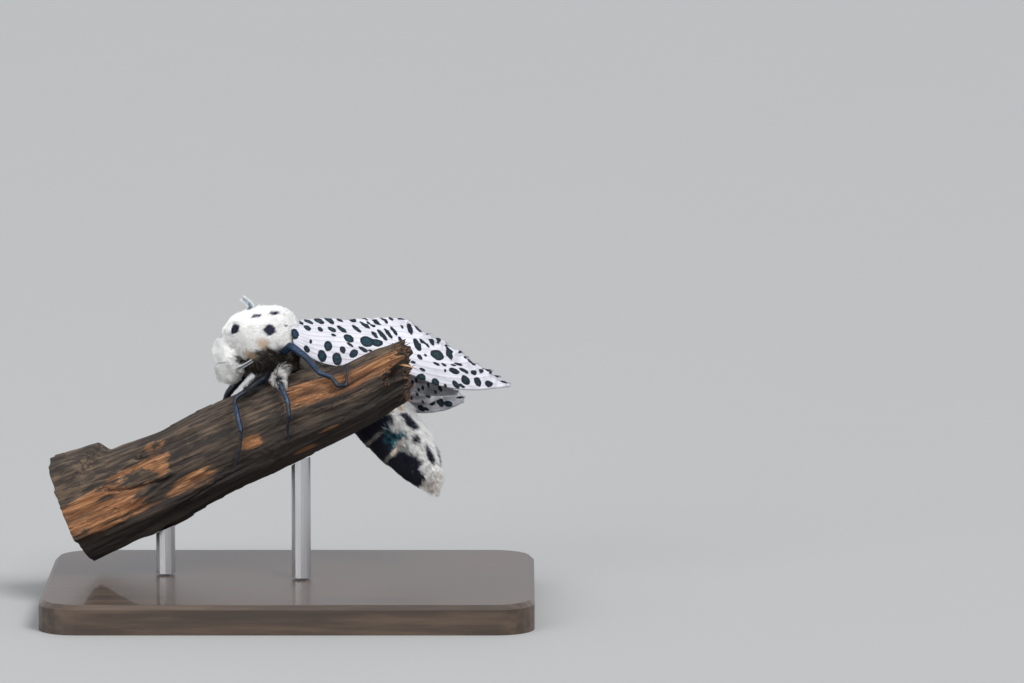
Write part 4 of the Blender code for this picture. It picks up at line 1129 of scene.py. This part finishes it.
def make_wing(name, settings, finish):
    """A wing as a thin closed plate: ridged veins, ruffled and scalloped towards the outer edge.

    The middle surface is moved along its normal by a ruffle, the sine of the share across, and
    each face by half the thickness plus the vein's rounded ridge. A forewing's hind edge is raised.
    """
    rows, columns = (220, 110) if name.startswith("fore") else (110, 70)
    veins = WINGS[name][2]
    middle = wing_surface(name, rows, columns)
    station = np.linspace(0.0, 1.0, rows)[:, None]
    across = np.linspace(0.0, 1.0, columns)[None, :]
    vein_at = (np.arange(veins) * 2 + 1) / (2.0 * veins)
    apart = np.abs(across[..., None] - vein_at).min(-1) * 2.0 * veins
    ridge = smooth(0.3, 0.0, apart) * smooth(1.0, 0.95, station) * smooth(0.0, 0.08, station)
    outward = np.gradient(middle, axis=0) * (rows - 1)
    nearest = spot_distance(name, middle)
    scallop = 0.01 * (0.5 + 0.5 * np.cos(across * veins * 2.0 * math.pi - math.pi))
    scallop = scallop + 0.012 * layered(np.stack([across * 14.0, 0.0 * across, 0.0 * across], -1), 3, 7)
    scallop = scallop + 0.018 * smooth(0.0, 0.1, across) * smooth(1.0, 0.85, across)
    middle = middle + outward * (scallop * smooth(0.9, 1.0, station))[..., None]
    face = unit(np.cross(np.gradient(middle, axis=1), np.gradient(middle, axis=0)))
    edge = smooth(0.6, 1.0, station) + smooth(0.8, 1.0, across) * smooth(0.3, 0.7, station)
    ruffle = 0.06 * edge * np.sin(across * veins * 2.0 * math.pi + 3.0 * station)
    ruffle = ruffle + 0.22 * edge * layered(middle * 0.55, 3, 12) + 0.05 * layered(middle * 1.1, 2, 13)
    ruffle = ruffle * smooth(0.0, 0.15, station)
    middle = middle + face * ruffle[..., None]
    if name.startswith("fore"):
        middle[..., 2] += 0.55 * smooth(0.7, 1.0, across) * smooth(0.5, 1.0, station)
        middle[..., 2] += 0.25 * smooth(0.7, 1.0, across) * np.exp(-(((station - 0.5) / 0.15) ** 2))
    half = settings.thickness / MM / 2.0 + settings.vein_height / MM * ridge
    half = half * smooth(0.0, 0.02, 1.0 - np.maximum(station, np.abs(across * 2.0 - 1.0)) + 0.004)
    start = int(WING_START * rows)
    sides = [(middle + face * half[..., None])[start:], (middle - face * half[..., None])[start:]]
    points = np.concatenate([side.reshape(-1, 3) for side in sides])
    rows = rows - start
    i, j = np.meshgrid(np.arange(rows - 1), np.arange(columns - 1), indexing="ij")
    corner = (i * columns + j).reshape(-1, 1)
    upper = corner + np.array([[0, 1, columns + 1, columns]])
    lower = corner + np.array([[columns, columns + 1, 1, 0]]) + rows * columns
    rim = np.concatenate([
        np.arange(columns), np.arange(1, rows) * columns + columns - 1,
        (rows - 1) * columns + np.arange(columns - 2, -1, -1), np.arange(rows - 2, 0, -1) * columns])
    after = np.roll(rim, -1)
    border = np.stack([after, rim, rim + rows * columns, after + rows * columns], -1)
    quads = np.concatenate([upper, lower, border])
    if facing_in(points, quads):
        quads = quads[:, ::-1]
    fields = {
        "nearest": np.tile(nearest[start:].ravel(), 2),
        "vein": np.tile(ridge[start:].ravel(), 2),
        "station": np.tile(np.broadcast_to(station, nearest.shape)[start:].ravel(), 2),
        # How much painted shade each wing takes: none on the near forewing, more on the far one, most on the
        # hindwings
        "hind": {"forewing_left": 0.0, "forewing_right": 0.45}.get(name, 0.9),
    }
    return add_mesh(name + "_piece", points, [quads], finish, fields), middle, face


def make_fringe(name, middle, face, count, finish):
    """Short flat hairs in rows along a wing's outer edge, pale with dark ones at the veins' ends."""
    draw = np.random.default_rng(29)
    rows, columns, _ = middle.shape
    share = draw.random(count)
    place = share * (columns - 1.001)
    j = place.astype(int)
    part = (place - j)[:, None]
    i = draw.integers(int(0.985 * rows), rows - 1, count)
    point = middle[i, j] * (1.0 - part) + middle[i, j + 1] * part
    along = np.gradient(middle, axis=0)[i, j]
    normal = face[i, j] * draw.choice((-1.0, 1.0), count)[:, None]
    unwrap = np.column_stack([0.78 + 0.2 * share, i / rows])
    roots = Roots(point, normal, along, i / (rows - 1.0), share, unwrap)
    lines = comb(roots, 0.42, 0.1, 0.0, seed=31, stray=0.12, swirl=0.2)
    veins = WINGS[name][2]
    dark = smooth(0.55, 0.8, np.cos((share * veins - 0.5) * 2.0 * math.pi) + 0.5 * draw.random(count) - 0.3)
    return hairs(name + "_fringe", roots, lines, 0.05, finish, {"dark": 0.7 * dark}, flat=0.3)


def wing_finish(settings):
    """White scales with faint veins and blue-black spots, blue at the base and green to the tip, with painted
    shade on the wings further back and towards the outer edge.
    """
    finish = Finish("wing scales", 0.6, Specular_IOR_Level=0.15)
    place, station = finish.place(), finish.field("station")
    speck = finish.grain(place, 6.0, 2.0)
    cloud = finish.grain(place, 0.5, 3.0)
    white = finish.mix(finish.step(cloud, 0.3, 0.75), settings.membrane, scaled(settings.membrane, 0.88))
    # Painted shade on the wings further back, in cloudy patches
    shaded = finish.field("hind") * finish.step(cloud, 0.25, 0.6)
    white = finish.mix(shaded, white, scaled(settings.membrane, 0.3))
    white = finish.mix(0.3 * finish.step(speck, 0.55, 0.8), white, settings.vein)
    white = finish.mix(0.7 * finish.field("vein"), white, settings.vein)
    # Painted shade: mottled darker grey over the outer tenth of each wing
    painted_tip_shade = finish.step(station, 0.88, 1.0) * finish.step(finish.grain(place, 0.8, 3.0), 0.4, 0.62)
    white = finish.mix(0.75 * painted_tip_shade, white, scaled(settings.membrane, 0.5))
    ragged = finish.field("nearest") + 0.2 * (finish.grain(place, 2.4, 3.0) - 0.5)
    spot = finish.step(ragged, 0.05, -0.03)
    inner = finish.step(ragged, -0.16, -0.5)
    centre = finish.mix(finish.step(station, 0.55, 0.85), settings.teal, settings.green)
    centre = finish.mix(finish.step(station, 0.17, 0.08), centre, settings.blue)
    centre = finish.mix(finish.step(speck, 0.4, 0.65), settings.spot, centre)
    finish.set("Base Color", finish.mix(spot, white, finish.mix(inner, settings.spot, centre)))
    finish.bump(speck + 0.6 * finish.grain(place, 14.0, 1.0), 0.4, 0.04)
    return finish.material


class MOTH_OT_wings(Operator):
    """Make the four veined wings and the fringe along their outer edges"""

    bl_idname = "moth.wings"
    bl_label = "Wings"

    def execute(self, context):
        settings = context.scene.moth_wings
        finish = wing_finish(settings)
        fringe = Finish("wing fringe", 0.7)
        fringe.set("Base Color", fringe.mix(fringe.field("dark"), settings.membrane, settings.spot))
        for name in WINGS:
            piece, middle, face = make_wing(name, settings, finish)
            ride(piece, "wing", name)
            count = 2200 if name.startswith("fore") else 1200
            ride(make_fringe(name, middle, face, count, fringe.material), "wing")
        return {"FINISHED"}


def on_branch(x, degrees, lift):
    """The point over the wood at a given x, turn in degrees and height."""
    station = np.linspace(0.0, 1.0, FINE)
    turn = math.radians(degrees)
    table = branch_form(station, turn, lift)
    return branch_form(np.interp(x, table[:, 0], station), turn, lift)


def leg_line(name):
    """Points along a leg, straight between its joints, and each point's place from 0 to 3 on it."""
    free, gripping = LEGS[name]
    places = np.array([np.array(place) for place in free] + [on_branch(*place) for place in gripping])
    knots = [places[0]]
    for first, last in zip(places[:-1], places[1:]):
        knots += [first + share * (last - first) for share in (0.08, 0.5, 0.92)]
    knots.append(places[-1])
    line = curve(knots, LEG_RINGS)
    travelled = np.concatenate([[0.0], np.cumsum(np.linalg.norm(np.diff(line, axis=0), axis=1))])
    knee, ankle = (np.linalg.norm(line - places[k], axis=1).argmin() for k in LEG_JOINTS[name])
    marks = (0.0, travelled[knee], travelled[ankle], travelled[-1])
    return line, np.interp(travelled, marks, (0.0, 1.0, 2.0, 3.0))


def leg_rings(name):
    """A leg: thigh, shin and a foot of five joints, as one tube whose radius swells at each joint."""
    line, along = leg_line(name)
    foot = smooth(2.0, 2.04, along)
    joints = 1.0 + 0.35 * foot * (((along - 2.0) * 5.0) % 1.0 - 0.5)
    radius = np.interp(along, *zip(*LEG_RADII)) * joints
    rings = tube(np.column_stack([line, np.ones(len(line))]), LEG_RINGS, 14, radius)
    rings = rings + 0.03 * noise(rings * 4.0, 6)[..., None] * unit(rings - rings.mean(axis=1, keepdims=True))
    # Painted highlight in part: the bright blue zone lies where the leg was lit
    low, high = LEG_LIT_BLUE.get(name, (4.0, 5.0))
    blue = smooth(low - 0.1, low + 0.05, along) * smooth(high + 0.1, high - 0.05, along)
    fields = {"blue": on_points(rings, blue[:, None])}
    return rings, along, fields


def claws(name, rings, finish):
    """Two small curved claws at the end of a foot."""
    way = unit(rings[-1].mean(axis=0) - rings[-8].mean(axis=0))
    tip = rings[-1].mean(axis=0) - 0.05 * way
    side = unit(np.cross(way, (0.0, -1.0, 0.3)))
    down = unit(np.cross(way, side))
    down = down * (-1.0 if down[1] < 0.0 else 1.0)
    lines = np.array([[tip + side * turn * 0.06, tip + side * turn * 0.16 + way * 0.2,
                       tip + side * turn * 0.2 + way * 0.32 + down * 0.12] for turn in (-1.0, 1.0)])
    roots = Roots(lines[:, 0], np.stack([down, down]), np.stack([way, way]), np.ones(2), np.zeros(2),
                  np.full((2, 2), 0.95))
    return hairs(name + "_claws", roots, lines, 0.07, finish, {}, sides=6)


def leg_finish(settings):
    """Blue-black scaled legs with a metal glint and painted blue glints, brighter blue where the field says:
    partly blue scales, partly painted highlight.
    """
    finish = Finish("leg scales", 0.42, Metallic=0.3)
    place = finish.place()
    speck = finish.grain(place, 7.0, 2.0)
    blue = finish.field("blue")
    base = finish.mix(blue, settings.black, scaled(settings.blue, 0.1))
    # Painted glints: bright blue specks, strongest in the lit blue zone
    glint = finish.step(speck, 0.52, 0.68) * (0.1 + 0.9 * blue)
    finish.set("Base Color", finish.mix(glint, base, settings.blue))
    finish.bump(speck, 0.6, 0.05)
    return finish.material


def hair_finish(name, colour, tip):
    """Plain hair of two colours, from root to tip, a little uneven."""
    finish = Finish(name)
    share = finish.field("run") + 0.5 * (finish.field("tone") - 0.5)
    finish.set("Base Color", finish.mix(finish.step(share, 0.1, 0.9), colour, tip))
    return finish.material


class MOTH_OT_legs(Operator):
    """Make the six legs, their spurs, their bristles and the long hair at their thighs"""

    bl_idname = "moth.legs"
    bl_label = "Legs"

    def execute(self, context):
        settings, coat = context.scene.moth_legs, context.scene.moth_coat
        finish = leg_finish(settings)
        dark = hair_finish("leg bristles", settings.black, scaled(settings.blue, 0.5))
        horn = Finish("claws", 0.25)
        horn.set("Base Color", (*settings.eye, 1.0))
        pale = hair_finish("thigh hair", scaled(coat.cream, 0.4), scaled(coat.white, 0.8))
        brown = hair_finish("dark thigh hair", tuple(coat.brown), scaled(coat.brown, 1.6))
        for row, name in enumerate(LEGS):
            rings, along, fields = leg_rings(name)
            ride(closed_mesh(name + "_piece", rings, finish, fields), "leg", name)
            ride(claws(name, rings, horn.material), "leg")
            ankle = np.searchsorted(along, 1.95) / LEG_RINGS
            roots = roots_on_rings(rings, 900, 100 + row, 0.02, 0.97, row=0.12 * row)
            length = 0.16 + 0.3 * smooth(0.4, 0.1, roots.station)
            lines = comb(roots, length, 0.5, 0.3, seed=110 + row, stray=0.3)
            ride(hairs(name + "_bristles", roots, lines, 0.022, dark, {}), "leg")
            spurs = roots_on_rings(rings, 4, 130 + row, ankle - 0.01, ankle + 0.01, row=0.12 * row)
            lines = comb(spurs, 0.8, 0.6, 0.4, seed=140 + row)
            ride(hairs(name + "_spurs", spurs, lines, 0.06, finish, {"blue": 0.0}, sides=5), "leg")
            if name in THIGH_HAIR:
                last = np.searchsorted(along, THIGH_HAIR[name]) / LEG_RINGS
                # The foreleg's near-black thigh hair is partly painted shade under the thorax
                black = name == "foreleg_left"
                roots = roots_on_rings(rings, 1300 if black else 1900, 150 + row, 0.0, last, row=0.12 * row)
                roots = roots.pick(noise(roots.point * 1.4, 150) > -0.25)
                lie = across_surface(roots, (0.7, 0.0, -0.7))
                lines = comb(roots, 1.25, 0.8, 0.0, lie, seed=160 + row, stray=0.3, clump=0.35, clumps=24,
                             swirl=0.3, sections=3)
                ride(hairs(name + "_hair", roots, lines, 0.024, brown if black else pale, {}), "leg")
        return {"FINISHED"}


class MOTH_OT_feelers(Operator):
    """Make the two feelers, ringed and edged with pale hair"""

    bl_idname = "moth.feelers"
    bl_label = "Feelers"

    def execute(self, context):
        settings = context.scene.moth_legs
        finish = Finish("feeler", 0.7)
        patchy = finish.step(finish.grain(finish.place(), 4.0), 0.35, 0.65)
        pale = finish.mix(patchy, settings.feeler, settings.black)
        finish.set("Base Color", finish.mix(finish.field("dark"), pale, settings.black))
        hair = hair_finish("feeler hair", settings.feeler, context.scene.moth_coat.white)
        for row, (name, path) in enumerate(FEELERS.items()):
            share = np.linspace(0.0, 1.0, 90)
            rings = tube(path, 90, 10, 1.0 + 0.18 * np.cos(share * 34.0 * 2.0 * math.pi))
            laid_back = name == "antenna_left"
            fields = {"dark": 1.0 if laid_back else 0.0}
            ride(closed_mesh(name + "_piece", rings, finish.material, fields), "antenna", name)
            last = 0.7 if laid_back else 1.0
            roots = roots_on_rings(rings, 2200, 170 + row, 0.03, last, row=0.75 + 0.12 * row)
            facing = np.abs(roots.normal @ np.array((0.0, -0.99, 0.14)))
            roots = roots.pick(facing < 0.6)
            lines = comb(roots, 0.16 if laid_back else 0.62, 1.0, 0.7, seed=180 + row, stray=0.3)
            ride(hairs(name + "_hair", roots, lines, 0.026, hair, {}), "antenna")
        return {"FINISHED"}


class MOTH_OT_eyes(Operator):
    """Make the two rounded compound eyes"""

    bl_idname = "moth.eyes"
    bl_label = "Eyes"

    def execute(self, context):
        finish = Finish("eye", 0.22, Specular_IOR_Level=0.35)
        cells = finish.node("ShaderNodeTexVoronoi", {}, {"Vector": finish.place(), "Scale": 14.0})
        dark = context.scene.moth_legs.eye
        finish.set("Base Color", finish.mix(finish.step(cells, 0.0, 0.6), scaled(dark, 2.5), dark))
        finish.bump(cells, 0.5, 0.02)
        for name, centre in EYES.items():
            rise = np.linspace(-math.pi / 2 + 0.03, math.pi / 2 - 0.03, 40)[:, None]
            turn = np.linspace(0.0, 2.0 * math.pi, 60, endpoint=False)[None, :]
            ball = np.stack(np.broadcast_arrays(
                np.cos(rise) * np.cos(turn), np.cos(rise) * np.sin(turn), np.sin(rise)), -1)
            ball = ball * EYE_RADIUS + np.array(centre)
            ride(closed_mesh(name + "_piece", ball, finish.material), "eye", name)
        return {"FINISHED"}


def torn_and_painted_lit_patches(places, turn, ragged):
    """1 inside the patches of torn grain and painted light on the near side and 0 outside, with ragged rims.
    """
    back, rise = places[..., 1] - PICTURE_FOOT[0], places[..., 2] - PICTURE_FOOT[1]
    height = back * math.sin(VIEW_TILT) + rise * math.cos(VIEW_TILT)
    inside = 0.0 * height
    for x, middle, half_length, half_width in WOOD_PATCHES:
        right, up = places[..., 0] - x, height - middle
        along = (right * math.cos(WOOD_RISE) + up * math.sin(WOOD_RISE)) / half_length
        across = (up * math.cos(WOOD_RISE) - right * math.sin(WOOD_RISE)) / half_width
        inside = np.maximum(inside, smooth(1.6, 0.6, np.hypot(along, across) + ragged))
    return inside * smooth(0.0, 0.3, turn) * smooth(3.1, 2.8, turn)


def make_perch(settings, finish):
    """The branch: the form's outline plus grain, flakes and cracks, a torn tip and a sawn end.

    The height over the outline is noise that is long along the grain and short across it; a
    crack is a thin band where another such noise passes zero, and a fibre is a thin ridge there.
    """
    rows, columns = 380, 208
    station, turn = grid(rows, columns)
    line = curve(BRANCH, rows)[:, :3]
    length = np.linalg.norm(np.diff(line, axis=0), axis=1).sum()
    round_about = lambda fine, long: np.stack(np.broadcast_arrays(
        station * length * long, np.cos(turn) * 5.5 * fine, np.sin(turn) * 5.5 * fine), -1)
    grain = layered(round_about(1.3, 0.1), 3, 40)
    flakes = layered(round_about(0.45, 0.08), 2, 50) + 0.12 * noise(round_about(1.4, 0.5), 51)
    steps = np.floor(flakes * 3.0) / 3.0 + smooth(0.0, 0.15, (flakes * 3.0) % 1.0) / 3.0
    crack = smooth(0.07, 0.0, np.abs(noise(round_about(0.55, 0.045), 60)))
    crack = crack * smooth(-0.2, 0.2, noise(round_about(0.3, 0.1), 61))
    fibre = smooth(0.16, 0.0, np.abs(noise(round_about(0.9, 0.05), 62))) * smooth(0.0, 0.4, noise(
        round_about(0.4, 0.12), 63))
    fine = layered(round_about(4.5, 0.4), 2, 70)
    height = settings.grain_depth / MM * grain + 0.45 * steps + 0.07 * fine + 0.3 * fibre
    height = height - settings.crack_depth / MM * crack - 0.1
    rings = branch_form(station, turn, height)
    along = frames(line)[0]
    jag = np.stack([0.0 * turn[0], np.cos(turn[0]) * 9.0, np.sin(turn[0]) * 9.0], -1)
    jag = 0.6 * noise(jag, 80) + 0.35 * noise(jag * 2.3, 81) - 0.9 * torn_beam(turn[0])
    shares = np.array([0.94, 0.86, 0.77, 0.68, 0.59, 0.5, 0.41, 0.32, 0.22, 0.12])
    torn = []
    for share in shares:
        ring = line[-1] + (rings[-1] - line[-1]) * share
        depth = torn_face(turn[0], share) + 0.6 * noise(ring * 0.9, 90) + 0.35 * noise(ring * 2.6, 91)
        torn.append(ring + along[-1] * (depth + jag * share)[:, None])
    sawn = [line[0] + (rings[0] - line[0]) * share for share in shares[::-1]]
    pull = smooth(0.86, 1.0, station) * (torn_face(turn, 1.0) + jag)
    rings = np.concatenate([sawn, rings + along[:, None, :] * pull[..., None], torn])
    ends = ((len(shares), len(shares)), (0, 0))
    pad = lambda values, first, last: on_points(rings, np.pad(
        np.broadcast_to(values, (rows, columns)), ends, constant_values=((first, last), (0, 0))))
    side = rings[len(shares):-len(shares)]
    x = side[..., 0]
    # Painted light: the upper near side towards the tip and the patches, where the wood was lit
    lit = np.exp(-(((turn - 0.95) / 0.5) ** 2)) * smooth(-3.0, 2.0, x)
    lit = lit + torn_and_painted_lit_patches(side, turn, 0.5 * layered(round_about(2.2, 0.16), 2, 95))
    share = np.concatenate([shares[::-1], np.ones(rows), shares])[:, None]
    # Painted shadow: a dark band along the near side between the beam and the plank
    band = smooth(0.14, 0.04, np.abs(turn - 1.45 - 0.08 * noise(round_about(0.3, 0.2), 66)))
    band = band * smooth(-8.0, -2.0, x)
    fields = {
        # The crack field also carries the painted shadow band
        "crack": pad(np.clip(crack + 0.5 * smooth(0.0, -0.5, grain) + 0.8 * band, 0.0, 1.0), 0.0, 0.25),
        # Painted light, weaker, on the torn face at the tip
        "lit": pad(np.clip(lit, 0.0, 1.0), 0.0, 0.4),
        # Painted shade: the lower side darker, except where painted lit, and the torn face at the tip darker
        "low": pad(smooth(1.3, 1.9, np.abs(turn) + 0.15 * noise(round_about(0.4, 0.1), 67)) * (
            1.0 - np.clip(1.2 * lit, 0.0, 1.0)), 0.0, 0.75),
        "sawn": pad(0.0, 1.0, 0.0),
        "share": on_points(rings, share),
    }
    return closed_mesh("perch_piece", rings, finish, fields), rings


def perch_finish(settings):
    """Weathered wood: grey over orange-brown grain, the orange partly painted light on the near side, with
    painted shade below and on the torn face, darker in the cracks, and a painted shadow band.
    """
    finish = Finish("weathered wood", 0.85)
    way = unit(np.array(BRANCH[-1][:3]) - np.array(BRANCH[0][:3])).tolist()
    streak = finish.grain(finish.fibres(way, 2.2, 0.16), 1.0, 6.0, 0.7)
    thread = finish.grain(finish.fibres(way, 6.0, 0.3), 1.0, 3.0, 0.6)
    cloud = finish.grain(finish.place(), 0.25, 4.0)
    old = finish.mix(finish.step(streak + 0.35 * cloud, 0.58, 0.84), settings.dark, settings.grey)
    torn = finish.mix(finish.step(thread, 0.45, 0.7), settings.fresh, settings.pale)
    torn = finish.mix(finish.step(streak, 0.55, 0.4), torn, scaled(settings.fresh, 0.45))
    # Painted light in part: where lit, the orange torn grain shows
    open_grain_and_painted_light = finish.step(finish.field("lit") + 1.1 * streak + 0.4 * thread, 1.1, 1.45)
    colour = finish.mix(open_grain_and_painted_light * finish.step(cloud, 0.3, 0.45), old, torn)
    # Painted shade below and on the torn face
    colour = finish.mix(0.9 * finish.field("low"), colour, settings.dark)
    # Near-black in the cracks and in the painted shadow band
    colour = finish.mix(0.9 * finish.field("crack"), colour, scaled(settings.dark, 0.3))
    rings = 90.0 * finish.field("share") + 6.0 * cloud
    ringed = finish.step(rings.math("SINE", rings), -0.8, 0.8)
    cut = finish.mix(ringed, scaled(settings.grey, 0.5), settings.grey)
    finish.set("Base Color", finish.mix(finish.field("sawn"), colour, cut))
    finish.bump(streak + 0.6 * thread, 0.9, 0.25)
    return finish.material


class MOTH_OT_perch(Operator):
    """Make the weathered branch"""

    bl_idname = "moth.perch"
    bl_label = "Perch"

    def execute(self, context):
        settings = context.scene.moth_perch
        piece, rings = make_perch(settings, perch_finish(settings))
        ride(piece, "perch", "perch_branch")
        torn = roots_on_rings(rings, 260, 190, 0.955, 0.99)
        way = unit(np.array(BRANCH[-1][:3]) - np.array(BRANCH[-2][:3]))
        length = 0.3 + 0.9 * np.random.default_rng(191).random(260) ** 2
        lines = comb(torn, length, 0.1, 0.0, np.tile(way, (260, 1)), seed=192, stray=0.25)
        finish = hair_finish("splinters", settings.dark, settings.fresh)
        ride(hairs("splinters", torn, lines, 0.09, finish, {}, sides=4), "perch")
        lines = np.array([SPLINTER])
        torn = Roots(lines[:, 0], [(0.0, -0.6, 0.8)], [way], np.ones(1), np.zeros(1), np.full((1, 2), 0.9))
        finish = hair_finish("pale splinter", settings.fresh, settings.pale)
        ride(hairs("splinter_pale", torn, lines, 0.42, finish, {}, sides=8, flat=0.3), "perch")
        return {"FINISHED"}


class MOTH_OT_stand(Operator):
    """Finish the stand's base and rods"""

    bl_idname = "moth.stand"
    bl_label = "Stand"

    def execute(self, context):
        settings = context.scene.moth_perch
        wood = Finish("stained base", 0.4, Coat_Weight=0.15)
        streak = wood.grain(wood.place((0.06, 0.8, 0.8)), 1.0, 5.0, 0.6)
        stained = wood.mix(wood.step(streak, 0.35, 0.7), settings.base, scaled(settings.base, 2.2))
        wood.set("Base Color", stained)
        wood.set("Roughness", 0.36 + 0.16 * streak)
        wood.bump(streak, 0.25, 0.05)
        steel = Finish("brushed steel", 0.3, Metallic=1.0)
        brush = steel.grain(steel.place((6.0, 6.0, 0.3)), 1.0, 3.0)
        steel.set("Base Color", settings.steel[:] + (1.0,))
        steel.set("Roughness", 0.24 + 0.2 * brush)
        for name, material in (("stand_base", wood.material), ("stand_rod_left", steel.material),
                               ("stand_rod_right", steel.material)):
            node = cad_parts[name]
            node.data.materials.clear()
            node.data.materials.append(material)
        return {"FINISHED"}


def add_light(name, place, target, size, power):
    """A soft square lamp that looks at the target."""
    lamp = bpy.data.lights.new(name, "AREA")
    lamp.shape, lamp.size, lamp.energy = "SQUARE", size, power
    made = bpy.data.objects.new(name, lamp)
    made.location = place
    made.rotation_euler = (Vector(target) - Vector(place)).to_track_quat("-Z", "Y").to_euler()
    bpy.context.scene.collection.objects.link(made)


class MOTH_OT_stage(Operator):
    """Make the plain pale floor, the soft light and the camera"""

    bl_idname = "moth.stage"
    bl_label = "Stage"

    def execute(self, context):
        settings = context.scene.moth_stage
        finish = Finish("plain floor", 0.9)
        shade = finish.grain(finish.place(), 0.02, 2.0)
        finish.set("Base Color", finish.mix(0.15 * shade, settings.floor, scaled(settings.floor, 0.9)))
        span = np.linspace(-4000.0, 4000.0, 9)
        x, y = np.meshgrid(span, span, indexing="ij")
        points = np.stack([x, y, 0.0 * x], -1).reshape(-1, 3)
        i, j = np.meshgrid(np.arange(8), np.arange(8), indexing="ij")
        corner = (i * 9 + j).reshape(-1, 1)
        add_mesh("floor", points, [corner + np.array([[0, 9, 10, 1]])], finish.material)
        centre = Vector(settings.view_centre)
        sun = bpy.data.lights.new("key", "SUN")
        sun.energy, sun.angle = settings.key_power, math.radians(25.0)
        key = bpy.data.objects.new("key", sun)
        key.rotation_euler = (math.radians(42.0), 0.0, math.radians(38.0))
        context.scene.collection.objects.link(key)
        add_light("fill", (-0.5, -0.6, 0.3), centre, 0.5, settings.fill_power)
        world = bpy.data.worlds.new("studio")
        world.use_nodes = True
        world.node_tree.nodes["Background"].inputs["Color"].default_value = (0.93, 0.95, 1.0, 1.0)
        world.node_tree.nodes["Background"].inputs["Strength"].default_value = settings.surround
        context.scene.world = world
        lens = bpy.data.cameras.new("camera")
        lens.lens = lens.sensor_width * settings.view_distance / settings.view_width
        lens.clip_end = 20.0
        camera = bpy.data.objects.new("camera", lens)
        away = Vector((0.0, -math.cos(settings.tilt), math.sin(settings.tilt)))
        camera.location = centre + settings.view_distance * away
        camera.rotation_euler = (math.pi / 2 - settings.tilt, 0.0, 0.0)
        context.scene.collection.objects.link(camera)
        context.scene.camera = camera
        context.scene.view_settings.view_transform = "Standard"
        return {"FINISHED"}


class MOTH_PT_panel(Panel):
    """Lists the pieces and their settings"""

    bl_label = "Leopard moth"
    bl_idname = "MOTH_PT_panel"
    bl_space_type = "VIEW_3D"
    bl_region_type = "UI"
    bl_category = "Moth"

    def draw(self, context):
        layout = self.layout
        for operator in OPERATORS:
            layout.operator(operator.bl_idname)
        for name, group in SETTINGS.items():
            box = layout.box()
            box.label(text=group.__doc__)
            for key in group.__annotations__:
                box.prop(getattr(context.scene, name), key)


OPERATORS = (MOTH_OT_skin, MOTH_OT_coat, MOTH_OT_wings, MOTH_OT_legs, MOTH_OT_feelers, MOTH_OT_eyes,
             MOTH_OT_perch, MOTH_OT_stand, MOTH_OT_stage)
SETTINGS = {"moth_coat": CoatSettings, "moth_wings": WingSettings, "moth_legs": LegSettings,
            "moth_perch": PerchSettings, "moth_stage": StageSettings}


def register():
    for each in (*SETTINGS.values(), *OPERATORS, MOTH_PT_panel):
        bpy.utils.register_class(each)
    for name, group in SETTINGS.items():
        setattr(bpy.types.Scene, name, PointerProperty(type=group))


def unregister():
    for name in SETTINGS:
        delattr(bpy.types.Scene, name)
    for each in (MOTH_PT_panel, *OPERATORS, *SETTINGS.values()):
        bpy.utils.unregister_class(each)


def main():
    register()
    for operator in OPERATORS:
        group, name = operator.bl_idname.split(".")
        getattr(getattr(bpy.ops, group), name)()


if __name__ == "__main__":
    main()
